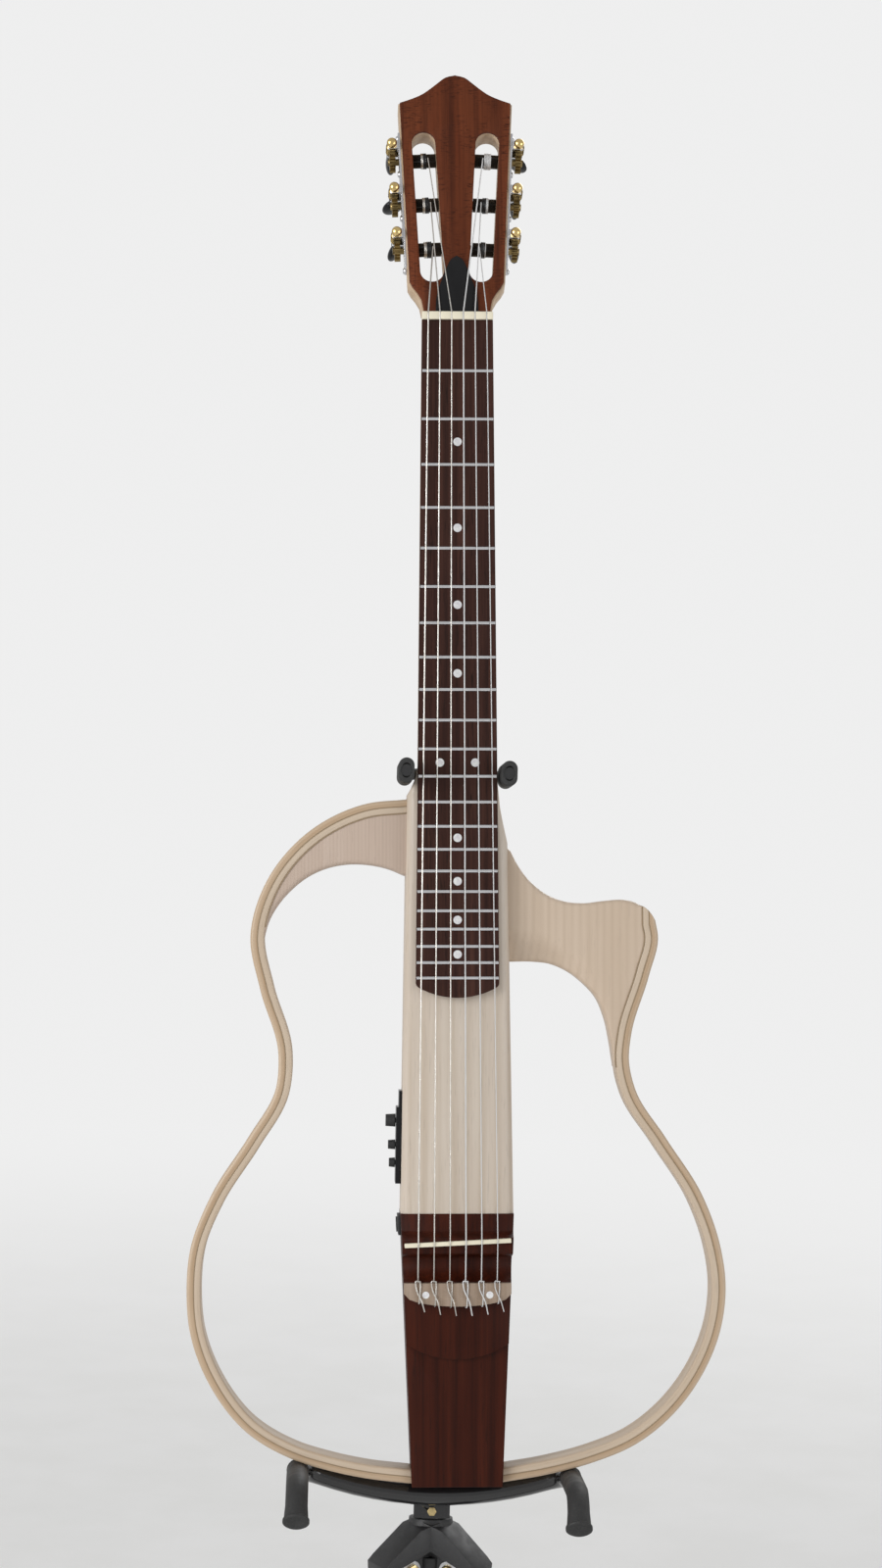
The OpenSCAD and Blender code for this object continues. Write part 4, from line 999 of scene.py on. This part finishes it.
# ---- repeated shapes by Geometry Nodes ----
class NodeShapes:
    """Geometry Nodes trees for tubes along a path and for rows of equal turns."""

    @staticmethod
    def close(g: Graph, shape: bpy.types.NodeSocket, material: bpy.types.NodeSocket,
              end: bpy.types.Node) -> bpy.types.NodeTree:
        """Smooth, realise and dress a shape, and lead it to the tree's output.

        Args:
            g: The graph that the nodes go in.
            shape: The shape.
            material: Its material.
            end: The tree's output node.

        Returns:
            The finished tree.
        """
        smooth = g.put(g.node("GeometryNodeSetShadeSmooth"), i0=shape)
        real = g.put(g.node("GeometryNodeRealizeInstances"), i0=smooth.outputs[0])
        dress = g.put(g.node("GeometryNodeSetMaterial"), Geometry=real.outputs[0],
                      Material=material)
        g.put(end, i0=dress.outputs[0])
        return g.tree

    @staticmethod
    @cache
    def tube_tree() -> bpy.types.NodeTree:
        """Tree that sweeps a round section along a poly line.

        Returns:
            The tree, built on first use.
        """
        shape = ("Geometry", "Geometry")
        g, i, o = open_group("round string", "GeometryNodeTree", (
            shape, ("Radius", "Float"), ("Sides", "Int"), ("Material", "Material")), (shape,))
        line = g.put(g.node("GeometryNodeMeshToCurve"), i0=i["Geometry"])
        ring = g.put(g.node("GeometryNodeCurvePrimitiveCircle"), Radius=i["Radius"],
                     Resolution=i["Sides"])
        sweep = g.put(g.node("GeometryNodeCurveToMesh"), Curve=line.outputs[0],
                      Profile_Curve=ring.outputs[0], Fill_Caps=True)
        return NodeShapes.close(g, sweep.outputs[0], i["Material"], o)

    @staticmethod
    @cache
    def turns_tree() -> bpy.types.NodeTree:
        """Tree that places equal rings in a row along local x.

        Returns:
            The tree, built on first use.
        """
        shape = ("Geometry", "Geometry")
        g, i, o = open_group("wound turns", "GeometryNodeTree", (
            shape, ("Turns", "Int"), ("Start", "Vector"), ("Step", "Vector"),
            ("Turn Radius", "Float"), ("Wire Radius", "Float"), ("Aim", "Rotation"),
            ("Material", "Material")), (shape,))
        line = g.put(g.node("GeometryNodeMeshLine", mode="OFFSET"), Count=i["Turns"],
                     Start_Location=i["Start"], Offset=i["Step"])
        ring, wire = (g.put(g.node("GeometryNodeCurvePrimitiveCircle"), Resolution=sides,
                            Radius=i[radius])
                      for sides, radius in ((40, "Turn Radius"), (10, "Wire Radius")))
        sweep = g.put(g.node("GeometryNodeCurveToMesh"), Curve=ring.outputs[0],
                      Profile_Curve=wire.outputs[0])
        place = g.put(g.node("GeometryNodeInstanceOnPoints"), Points=line.outputs[0],
                      Instance=sweep.outputs[0], Rotation=i["Aim"])
        return NodeShapes.close(g, place.outputs[0], i["Material"], o)

    @staticmethod
    def apply(name: str, mesh: bpy.types.Mesh, tree: bpy.types.NodeTree,
              values: dict[str, object]) -> bpy.types.Object:
        """Run a tree on a mesh and keep the result as a plain mesh.

        Args:
            name: Name of the new object.
            mesh: Input mesh.
            tree: Geometry Nodes tree.
            values: Input values by socket name.

        Returns:
            The plain mesh object, at the origin.
        """
        piece = linked(name, mesh)
        step = piece.modifiers.new("shape", "NODES")
        step.node_group = tree
        for item in tree.interface.items_tree:
            if item.in_out == "INPUT" and item.name in values:
                step[item.identifier] = values[item.name]
        graph = bpy.context.evaluated_depsgraph_get()
        made = bpy.data.meshes.new_from_object(piece.evaluated_get(graph),
                                               preserve_all_data_layers=True, depsgraph=graph)
        piece.modifiers.clear()
        piece.data = made
        made.name = name
        return piece

    @classmethod
    def tube(cls, name: str, points: Sequence[Vector], radius: float,
             material: bpy.types.Material, sides: int = 14) -> bpy.types.Object:
        """Round string through points given in metres.

        Args:
            name: Object name.
            points: Points along the string, metres.
            radius: Radius, metres.
            material: Its material.
            sides: Number of sides.

        Returns:
            The string as a plain mesh.
        """
        mesh = bpy.data.meshes.new(name)
        mesh.from_pydata(list(points), [(i, i + 1) for i in range(len(points) - 1)], [])
        return cls.apply(name, mesh, cls.tube_tree(),
                         {"Radius": radius, "Sides": sides, "Material": material})

    @classmethod
    def turns(cls, name: str, matrix: Matrix, start_x: float, step_x: float, count: int,
              turn_radius: float, wire_radius: float, material: bpy.types.Material
              ) -> bpy.types.Object:
        """Row of wound turns about the local x axis of a millimetre frame.

        Args:
            name: Object name.
            matrix: Local millimetre frame to row frame.
            start_x: Place of the first turn.
            step_x: Distance from turn to turn.
            count: Number of turns.
            turn_radius: Radius of a turn at the middle of its wire.
            wire_radius: Radius of the wire.
            material: Its material.

        Returns:
            The turns as a plain mesh.
        """
        first = matrix @ Vector((start_x, 0, 0))
        step = matrix @ Vector((start_x + step_x, 0, 0)) - first
        aim = Vector((0, 0, 1)).rotation_difference(step.normalized()).to_euler()
        return cls.apply(name, bpy.data.meshes.new(name), cls.turns_tree(),
                         {"Turns": count, "Start": first[:], "Step": step[:],
                          "Turn Radius": turn_radius * MM, "Wire Radius": wire_radius * MM,
                          "Aim": aim[:], "Material": material})


def join(name: str, pieces: Sequence[bpy.types.Object]) -> bpy.types.Object:
    """Join mesh objects into the first one and name it.

    Args:
        name: Name of the joined object.
        pieces: The objects.

    Returns:
        The joined object.
    """
    first, every = pieces[0], list(pieces)
    with bpy.context.temp_override(active_object=first, object=first, selected_objects=every,
                                   selected_editable_objects=every):
        bpy.ops.object.join()
    first.name = name
    return first


# ---- sub-assemblies ----
@dataclass
class Strings:
    """Six strings from roller to nut, saddle and tie block, with their knots and tails."""

    frame: Frame
    radii: tuple[float, ...] = (0.55, 0.46, 0.4, 0.5, 0.42, 0.36)
    tuners: tuple[int, ...] = (0, 1, 2, 5, 4, 3)
    nut_span: float = 41.5
    saddle_span: float = 55.8
    nut_high: float = 8.7
    saddle_high: float = 15.0
    saddle_s: float = 653.6
    slope: float = 2.7
    tie_front: float = 9.0
    tie_s: float = 682.0
    tie_low: float = 689.5
    tie_bow: float = 8.8
    tie_half: float = 38.0
    wound_x: float = -18.0
    wound_gap: float = 1.4
    core: float = 5.0
    nut_z: float = 5.3
    bore_y: float = 6.2

    def tie_end(self, x: float) -> float:
        """Station of the tie block's lower edge at x."""
        return self.tie_low + self.tie_bow * math.sqrt(max(0.0, 1 - (x / self.tie_half) ** 2))

    def routes(self, i: int) -> list[list[Vector]]:
        """The two runs of string i in the guitar frame: main line, and knot with tail.

        Args:
            i: Number of the string, from the bass side.

        Returns:
            Points of both runs, millimetres.
        """
        r, t = self.radii[i], self.tuners[i]
        side = -1 if t < 3 else 1
        xs = self.saddle_span * (i / 5 - 0.5)
        z = DESIGN.tuner_z(t)
        tilt = Matrix.Rotation(math.radians(-DESIGN.head_tilt), 4, "X")
        roller = tilt @ Vector((side * (DESIGN.head_half(z) + self.wound_x - self.wound_gap),
                                DESIGN.roller_depth - self.core - r - 0.3, z + 1))
        nut = Vector((self.nut_span * (i / 5 - 0.5), -self.nut_high, self.nut_z))
        saddle = Vector((xs, -self.saddle_high,
                         -(self.saddle_s - xs * math.tan(math.radians(self.slope)))))
        end = -self.tie_end(xs)
        front = -self.tie_front
        main = [roller, nut, saddle, Vector((xs, -self.bore_y, -self.tie_s + 0.2)),
                Vector((xs, -self.bore_y, end - 0.8)),
                Vector((xs + 0.8, front - r - 0.2, end - 0.9)),
                Vector((xs + 1.6, front - r - 0.2, -self.tie_s - 2)),
                Vector((xs + 1.2, front - r - 0.5, -self.tie_s + 1.6))]
        tail = [Vector((xs + 1.8, front - r - 0.6, -self.tie_s + 1.2)),
                Vector((xs - 1.5, front - 1.6, -self.tie_s + 1.6)),
                Vector((xs - 1.6, front - r - 0.6, -self.tie_s - 2.6)),
                Vector((xs + 2.6, front - r - 1.6, -self.tie_s - 13)),
                Vector((xs + 4.6, front + 0.2, end - 6.5))]
        return [self.eased(main, 1.2), smooth_curve(tail, 5)]

    @staticmethod
    def eased(row: Sequence[Vector], reach: float) -> list[Vector]:
        """Row of points with short rounded corners.

        Args:
            row: The points.
            reach: How far from a corner the rounding starts.

        Returns:
            The points with rounded corners.
        """
        out = [row[0]]
        for before, here, after in zip(row, row[1:], row[2:]):
            a, b = (before - here), (after - here)
            ra, rb = min(reach, a.length * 0.4), min(reach, b.length * 0.4)
            p, q = here + a.normalized() * ra, here + b.normalized() * rb
            out += [p, p * 0.3 + here * 0.4 + q * 0.3, q]
        return out + [row[-1]]

    def build(self) -> None:
        """Build all strings and let them stand for the two string nodes."""
        to_row = DESIGN.guitar()
        for node, picks, finish in (("bass_strings", (0, 1, 2), Finishes.wound),
                                    ("treble_strings", (3, 4, 5), Finishes.nylon)):
            runs = [NodeShapes.tube(f"{node}_{i}_{k}", [to_row @ p for p in route],
                                    self.radii[i] * MM, finish.material())
                    for i in picks for k, route in enumerate(self.routes(i))]
            self.frame.settle(join(node + "_drawn", runs), node)


@dataclass
class Rim:
    """Laminated bent rim: outer and inner layer on both sides, and their glue lines."""

    frame: Frame
    steps: int = 10
    outer_arris: float = 2.2
    inner_arris: float = 1.4
    seam_arris: float = 0.1
    glue_half: float = 0.4
    glue_proud: float = 0.07
    ply_seam: float = 0.3
    wing_seam: float = 0.1
    wing_reach: Flat = (154.0, 106.0)

    @staticmethod
    def right_cut(line: Sequence[Vector], d: float) -> Vector:
        """Point of the right horn's cut at a depth below the outer line."""
        p = line[0]
        return Vector((p.x - d * 0.97, p.y - 1.9 * d + 0.082 * d * d))

    def sweep(self, line: Sequence[Vector], side: int, section: Sequence[Flat],
              whole: bool = True) -> Shape:
        """Sweep a section along one side.

        Args:
            line: Outer line of the rim.
            side: -1 on the left, +1 on the right.
            section: Depth below the line and distance behind the strings' plane.
            whole: Whether it runs to the tail block.

        Returns:
            The lofted piece in the guitar frame.
        """
        rings, grain, run, last = [], [], 0.0, len(line) - 1
        for i, p in enumerate(line):
            run += (p - line[i - 1]).length if i else 0.0
            n = side_normal(line, i) * side
            ring = []
            for depth, y in section:
                q = p + n * depth
                if i == 0:
                    q = Vector((-DESIGN.beam_left(q.y), q.y)) if side < 0 \
                        else self.right_cut(line, depth)
                elif i == last and whole:
                    q = Vector((side * DESIGN.tail_half(q.y), q.y))
                ring.append(Vector((q.x, y, -q.y)))
            rings.append(ring)
            grain.append([Vector((depth, y, run)) * MM for depth, y in section])
        return loft(rings, grain)

    @staticmethod
    def layer(d0: float, d1: float, r0: float, r1: float) -> list[Flat]:
        """Section of one lamination between two depths, with the arris radius at each.

        Args:
            d0: Depth of the outer face.
            d1: Depth of the inner face.
            r0: Arris radius at the outer face.
            r1: Arris radius at the inner face.

        Returns:
            Closed section: depth, and distance behind the strings' plane.
        """
        front, rear = DESIGN.rim_front, DESIGN.rim_rear
        half = [(r0 * (1 - math.cos(t)), front + r0 * (1 - math.sin(t))) for t in QUARTER]
        half += [(d1 - d0 - r1 * (1 - math.sin(t)), front + r1 * (1 - math.cos(t)))
                 for t in QUARTER]
        half += [(w, front + rear - y) for w, y in reversed(half)]
        return [(d0 + w, y) for w, y in half]

    def glue(self, line: Sequence[Vector], side: int, depth: float, whole: bool) -> Shape:
        """Thin dark joint line, just proud of the rim's front and rear faces.

        Args:
            line: Outer line of the rim.
            side: -1 on the left, +1 on the right.
            depth: Depth of the joint below the line.
            whole: Whether it runs to the tail block.

        Returns:
            The joint line in the guitar frame.
        """
        front, rear = DESIGN.rim_front - self.glue_proud, DESIGN.rim_rear + self.glue_proud
        half = self.glue_half
        return self.sweep(line, side, [(depth - half, front), (depth + half, front),
                                       (depth + half, rear), (depth - half, rear)], whole)

    @staticmethod
    def start_of(line: Sequence[Vector], reach: float) -> Sequence[Vector]:
        """The line's points within a length of its start.

        Args:
            line: The line.
            reach: Length to keep.

        Returns:
            The first points of the line.
        """
        run = 0.0
        for i in range(1, len(line)):
            run += (line[i] - line[i - 1]).length
            if run > reach:
                return line[:i]
        return line

    def build(self) -> None:
        """Build both layers and the glue lines."""
        outer, both = DESIGN.outer_ply, DESIGN.outer_ply + DESIGN.inner_ply
        sides = ((smooth_curve(LEFT_LINE, self.steps), -1),
                 (smooth_curve(RIGHT_LINE, self.steps), 1))
        for node, section, finish in (
                ("rim_outer_ply", self.layer(0.0, outer, self.outer_arris, self.seam_arris),
                 Finishes.outer_rim),
                ("rim_inner_ply", self.layer(outer, both, self.seam_arris, self.inner_arris),
                 Finishes.inner_rim)):
            shape = Shape()
            for line, side in sides:
                shape.add(self.sweep(line, side, section))
            self.frame.settle(make_object(node + "_bent", shape, DESIGN.guitar(),
                                          finish.material()), node)
        lines = Shape()
        for (line, side), reach in zip(sides, self.wing_reach):
            lines.add(self.glue(line, side, outer - self.ply_seam, True))
            lines.add(self.glue(self.start_of(line, reach), side, both - self.wing_seam, False))
        self.frame.add(make_object("rim_glue_lines", lines, DESIGN.guitar(),
                                   Finishes.glue.material()), "rim_outer_ply")


def evenly(row: Sequence[Vector], count: int) -> list[Vector]:
    """Points spaced evenly by length along a poly line.

    Args:
        row: The poly line.
        count: Number of points wanted.

    Returns:
        The points, both ends included.
    """
    runs = [0.0]
    for p, q in zip(row, row[1:]):
        runs.append(runs[-1] + (q - p).length)
    out, j = [], 0
    for k in range(count):
        want = runs[-1] * k / (count - 1)
        while j < len(row) - 2 and runs[j + 1] < want:
            j += 1
        t = (want - runs[j]) / max(runs[j + 1] - runs[j], 1e-9)
        out.append(row[j].lerp(row[j + 1], min(max(t, 0.0), 1.0)))
    return out


def smoothstep(t: float) -> float:
    """Smooth rise from 0 to 1."""
    t = min(max(t, 0.0), 1.0)
    return t * t * (3 - 2 * t)


@dataclass
class Wings:
    """The two solid shoulders between rim and beam, lofted from outer edge to hollow edge."""

    frame: Frame
    front: float = 6.4
    rear: float = 34.0
    soft: float = 3.4
    hidden_soft: float = 0.2
    tuck: float = 3.0
    columns: int = 90
    rows: int = 16
    steps: int = 8
    lap: float = 2.0
    scoop: float = 8.0
    scoop_width: float = 27.0
    scoop_taper: float = 0.24
    scoop_start: float = 37.0
    scoop_least: float = 6.0
    fade_start: float = 55.0
    fade_length: float = 60.0
    left_root: float = 345.0
    left_reach: Flat = (-42.0, 452.0)
    right_root: float = 374.0
    right_reach: Flat = (428.0, 556.0)

    def edges(self, side: int) -> tuple[list[Vector], list[Vector], int]:
        """Outer edge, hollow edge and the number of outer points that lie free of the rim.

        Args:
            side: -1 on the left, +1 on the right.

        Returns:
            Both edges as flat polylines, and the number.
        """
        depth = DESIGN.outer_ply + DESIGN.inner_ply - self.tuck
        if side < 0:
            inner = shifted(smooth_curve(LEFT_LINE, self.steps), -depth)
            outer = [Vector((-DESIGN.beam_left(self.left_root) + self.lap,
                             LEFT_LINE[0][1] + depth))]
            outer += [p for p in inner if p.x < self.left_reach[0] and p.y < self.left_reach[1]]
            hollow = smooth_curve(LEFT_HOLLOW, self.steps)
            hollow[0] = Vector((-DESIGN.beam_left(hollow[0].y) + self.lap, hollow[0].y))
            return outer, hollow, 0
        inner = shifted(smooth_curve(RIGHT_LINE, self.steps), depth)
        top = [Vector((DESIGN.beam_right(self.right_root) - self.lap, self.right_root))]
        top += smooth_curve(CUTAWAY, self.steps) + [Vector(HORN[0])]
        low, high = self.right_reach
        outer = top + [Vector(HORN[1])] + [p for p in inner if low < p.y < high]
        hollow = smooth_curve(RIGHT_HOLLOW, self.steps)
        hollow[0] = Vector((DESIGN.beam_right(hollow[0].y) - self.lap, hollow[0].y))
        return outer, hollow, len(top)

    def hollow_dip(self, p: Vector, away: float, side: int) -> float:
        """Extra set-back of the front near the hollow edge beside the beam.

        Args:
            p: Point of the front face, flat.
            away: Distance from the hollow edge.
            side: -1 on the left, +1 on the right.

        Returns:
            The set-back, millimetres.
        """
        if side < 0:
            return 0.0
        width = max(self.scoop_width - self.scoop_taper * (p.x - self.scoop_start),
                    self.scoop_least)
        return self.scoop * smoothstep(1 - away / width) * (
            1 - smoothstep((p.x - self.fade_start) / self.fade_length))

    def section(self, top: Vector, low: Vector, soft_top: float, side: int) -> list[Vector]:
        """Closed section from the outer edge to the hollow edge and back behind.

        Args:
            top: Outer edge point.
            low: Hollow edge point.
            soft_top: Arris radius at the outer edge.
            side: -1 on the left, +1 on the right.

        Returns:
            The section's points in the guitar frame.
        """
        span = (low - top).length
        way = (low - top) / max(span, 1e-6)
        rt, rl = min(soft_top, span * 0.45), min(self.soft, span * 0.45)
        face = [(rt * (1 - math.sin(t)), rt * (1 - math.cos(t))) for t in QUARTER[::-1]]
        face += [(rt + (span - rt - rl) * k / self.rows, 0.0) for k in range(1, self.rows)]
        face += [(span - rl * (1 - math.sin(t)), rl * (1 - math.cos(t))) for t in QUARTER]
        front: list[Vector] = []
        back: list[Vector] = []
        for run, rise in face:
            p = top + way * run
            dip = self.hollow_dip(p, span - run, side)
            front.append(Vector((p.x, self.front + rise + dip, -p.y)))
            back.append(Vector((p.x, self.rear - rise, -p.y)))
        return front + back[::-1]

    def build(self) -> None:
        """Build both wings."""
        for side, node, finish in ((-1, "left_wing", Finishes.left_wing),
                                   (1, "right_wing", Finishes.right_wing)):
            outer, hollow, free = self.edges(side)
            share = sum((q - p).length for p, q in zip(outer[:free], outer[1:free]))
            whole = sum((q - p).length for p, q in zip(outer, outer[1:]))
            rings = []
            for k, (top, low) in enumerate(zip(evenly(outer, self.columns),
                                               evenly(hollow, self.columns))):
                loose = whole * k / (self.columns - 1) < share
                rings.append(self.section(top, low, self.soft if loose else self.hidden_soft,
                                          side))
            shape = loft(rings, [[p * MM for p in ring] for ring in rings])
            self.frame.settle(make_object(node + "_carved", shape, DESIGN.guitar(),
                                          finish.material(), 50.0), node)


@dataclass
class Neck:
    """Neck, fretboard with frets and dots, nut."""

    frame: Frame

    def build(self) -> None:
        """Dress or redraw each node of the neck."""
        self.frame.smooth("neck", Finishes.neck, 32)
        self.frame.dress("fretboard", Finishes.rosewood)
        self.frame.smooth("frets", Finishes.fret_wire, 60)
        self.frame.smooth("inlay_dots", Finishes.pearl, 40)
        self.frame.smooth("nut", Finishes.bone, 30, 0.0003)


@dataclass
class Body:
    """Centre beam, tail block, bridge, preamp and jack."""

    frame: Frame

    def build(self) -> None:
        """Dress or redraw each node of the body."""
        self.frame.smooth_all(
            ("centre_beam", Finishes.beam, 34, 0), ("tail_block", Finishes.tail, 34, 0.0012),
            ("saddle", Finishes.bone, 30, 0.0004), ("tie_block", Finishes.bridge, 34, 0.0004),
            ("preamp_panel", Finishes.gloss, 34, 0.0006),
            ("output_jack", Finishes.moulded, 34, 0.0004),
            *((knob, Finishes.moulded, 40, 0.0003)
              for knob in ("volume_knob", "bass_knob", "treble_knob")))


@dataclass
class Headstock:
    """Slotted headstock with veneer, cover, plates and six worm tuners."""

    frame: Frame
    turns: int = 5
    cap_end: float = -8.6
    gear_start: float = -0.35

    def build(self) -> None:
        """Dress or redraw the headstock's nodes and wind the strings on."""
        self.frame.smooth_all(
            ("headstock", Finishes.head, 34, 0.0006),
            ("headstock_veneer", Finishes.veneer, 34, 0.0003),
            ("truss_rod_cover", Finishes.gloss, 34, 0.0003),
            ("tuner_plates", Finishes.nickel, 34, 0.0002), ("tuner_screws", Finishes.nickel, 40, 0))
        strings = Strings(self.frame)
        for i in range(6):
            self.dress_worm(i)
            self.frame.smooth(f"button_{i + 1}", Finishes.gloss, 50)
            self.dress_roller(i, strings)

    def dress_worm(self, i: int) -> None:
        """Finish one worm: thread and shaft in gilt darkened as painted shade, bright ball cap."""
        piece = self.frame.smooth(f"worm_{i + 1}", Finishes.gilt_painted_shade, 50)
        accent(piece, Finishes.gilt, DESIGN.tuner(i), lambda p: p.y < self.cap_end)

    def dress_roller(self, i: int, strings: Strings) -> None:
        """Finish one roller: black barrel, gear in gilt darkened as painted shade, wound string
        turns.

        Args:
            i: Tuner number.
            strings: The strings wound on the rollers.
        """
        node = f"roller_{i + 1}"
        piece = self.frame.smooth(node, Finishes.roller, 40)
        accent(piece, Finishes.gilt_painted_shade, DESIGN.tuner(i), lambda p: p.x > self.gear_start)
        string = strings.tuners.index(i)
        r = strings.radii[string]
        finish = Finishes.wound if string < 3 else Finishes.nylon
        turns = NodeShapes.turns(f"string_turns_{i + 1}", DESIGN.tuner(i), strings.wound_x,
                                 2 * r + 0.02, self.turns, strings.core + r - 0.03, r,
                                 finish.material())
        self.frame.add(turns, node)


@dataclass
class Stand:
    """Folding tripod with sliding neck post, neck rest and cradle; zinc brackets on its legs."""

    frame: Frame
    bracket_end: float = 26.4

    def build(self) -> None:
        """Dress or redraw the stand's nodes."""
        self.frame.smooth_all(
            ("hub", Finishes.moulded, 34, 0.0006),
            *((tube, Finishes.paint, 40, 0)
              for tube in ("mast_tube", "neck_post", "neck_rest_yoke", "cradle_yoke")),
            ("neck_rest_sleeves", Finishes.rubber, 40, 0.0008),
            ("cradle_sleeves", Finishes.rubber, 40, 0), ("cradle_caps", Finishes.rubber, 50, 0),
            ("stand_bolts", Finishes.brass, 34, 0.0002),
            ("clamp_collar", Finishes.moulded, 34, 0.0006),
            ("clamp_knob", Finishes.moulded, 40, 0.0006))
        for side, turn in (("left", -150.0), ("right", -30.0), ("rear", 90.0)):
            accent(self.frame.smooth(f"leg_{side}", Finishes.paint, 34), Finishes.zinc,
                   DESIGN.leg(turn), lambda p: p.x < self.bracket_end)
            self.frame.smooth(f"foot_{side}", Finishes.rubber, 40)


@dataclass
class Studio:
    """Pale floor, soft lamps and the camera."""

    lens: float = 81.0
    depth: float = 2516.0
    right: float = 11.5
    up: float = 330.0
    yaw: float = 2.0
    tilt: float = 2.2
    ambient: float = 0.42
    mirrored: float = 0.25
    seen: float = 0.86
    floor_radius: float = 40.0
    floor_sides: int = 48
    lamp_aim: Point = (0.0, 0.0, 0.65)
    lamps: tuple[tuple[str, Point, float, float], ...] = (
        ("key_lamp", (-2.7, -2.0, 1.5), 2.0, 74.0), ("fill_lamp", (2.7, -2.2, 0.9), 2.2, 34.0),
        ("rim_lamp", (1.2, 2.4, 2.0), 1.6, 26.0))

    def camera(self) -> None:
        """Place the camera level with the strings' middle, a little to the left."""
        frame = DESIGN.guitar()
        axes = frame.to_3x3().normalized()
        turn = Matrix.Rotation(math.radians(-self.yaw), 3, axes.col[2])
        tilt = math.radians(self.tilt)
        y, z = axes.col[1], axes.col[2]
        forward = turn @ (y * math.cos(tilt) + z * math.sin(tilt))
        upward = turn @ (z * math.cos(tilt) - y * math.sin(tilt))
        rightward = forward.cross(upward).normalized()
        nut = frame @ Vector((0, 0, 0))
        place = nut - (rightward * self.right + upward * self.up + forward * self.depth) * MM
        data = bpy.data.cameras.new("camera")
        data.lens, data.sensor_width, data.clip_end = self.lens, 36.0, 50.0
        item = linked("camera", data)
        item.matrix_world = Matrix.Translation(place) @ Matrix(
            (rightward, upward, -forward)).transposed().to_4x4()
        bpy.context.scene.camera = item
        LOG.info("camera at %s", [round(c, 3) for c in place])

    def lamp(self, name: str, place: Point, size: float, power: float) -> None:
        """Add one soft square lamp, aimed at the object's middle.

        Args:
            name: Lamp name.
            place: Where it stands, metres.
            size: Edge of the square, metres.
            power: Power, watts.
        """
        data = bpy.data.lights.new(name, "AREA")
        data.size, data.energy = size, power
        item = linked(name, data)
        item.location = place
        item.rotation_euler = (Vector(self.lamp_aim) - Vector(place)).to_track_quat(
            "-Z", "Y").to_euler()

    def pale(self, g: Graph) -> bpy.types.NodeSocket:
        """Strength of the surroundings: nearly white where seen or mirrored, softer as light.

        Args:
            g: The graph that the nodes go in.

        Returns:
            The strength.
        """
        rays = g.node("ShaderNodeLightPath")
        seen = g.math("MAXIMUM", rays.outputs["Is Camera Ray"], g.math(
            "MULTIPLY", g.math("MAXIMUM", rays.outputs["Is Glossy Ray"],
                               rays.outputs["Is Transmission Ray"]), self.mirrored))
        return g.math("ADD", self.ambient, g.math("MULTIPLY", seen, self.seen - self.ambient))

    def floor(self) -> None:
        """Pale floor that takes the shadow near the stand and fades into the surroundings."""
        mesh = bpy.data.meshes.new("floor")
        turns = [2 * math.pi * k / self.floor_sides for k in range(self.floor_sides)]
        mesh.from_pydata([(self.floor_radius * math.cos(t), self.floor_radius * math.sin(t), 0)
                          for t in turns], [], [list(range(self.floor_sides))])
        made = bpy.data.materials.new("floor_pale")
        g = Graph.cleared(made)
        place = g.node("ShaderNodeTexCoord").outputs["Object"]
        reach = g.node("ShaderNodeVectorMath", operation="LENGTH")
        g.put(reach, i0=place)
        far = g.ramp(reach.outputs["Value"], 0.5, 2.2)
        grain = g.noise(place, 9.0, 4.0)
        tone = g.mix(g.ramp(grain, 0.3, 0.7), (0.84, 0.84, 0.83, 1), (0.87, 0.87, 0.865, 1))
        shader = g.node("ShaderNodeBsdfPrincipled")
        g.put(shader, Base_Color=tone, Roughness=0.8)
        glow = g.put(g.node("ShaderNodeEmission"), Color=(1, 1, 1, 1), Strength=self.pale(g))
        blend = g.put(g.node("ShaderNodeMixShader"), i0=far, i1=shader.outputs[0],
                      i2=glow.outputs[0])
        g.put(g.node("ShaderNodeOutputMaterial"), Surface=blend.outputs[0])
        mesh.materials.append(made)
        item = linked("floor", mesh)
        item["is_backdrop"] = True

    def world(self) -> None:
        """Even pale surroundings."""
        world = bpy.data.worlds.new("surroundings")
        bpy.context.scene.world = world
        g = Graph.cleared(world)
        background = g.node("ShaderNodeBackground")
        g.put(background, Color=(1.0, 1.0, 1.0, 1.0), Strength=self.pale(g))
        g.put(g.node("ShaderNodeOutputWorld"), Surface=background.outputs[0])

    def build(self) -> None:
        """Build camera, floor, lamps and surroundings."""
        self.camera()
        self.floor()
        self.world()
        for row in self.lamps:
            self.lamp(*row)
        bpy.context.scene.view_settings.view_transform = "Standard"


def main() -> Frame:
    """Build the whole scene.

    Returns:
        The frame with the CAD box kept in it.
    """
    frame = Frame()
    Studio().build()
    for part in (Neck(frame), Strings(frame), Headstock(frame), Body(frame), Rim(frame),
                 Wings(frame), Stand(frame)):
        part.build()
        LOG.info("%s done", type(part).__name__)
    return frame


if __name__ == "__main__":
    packed = main()
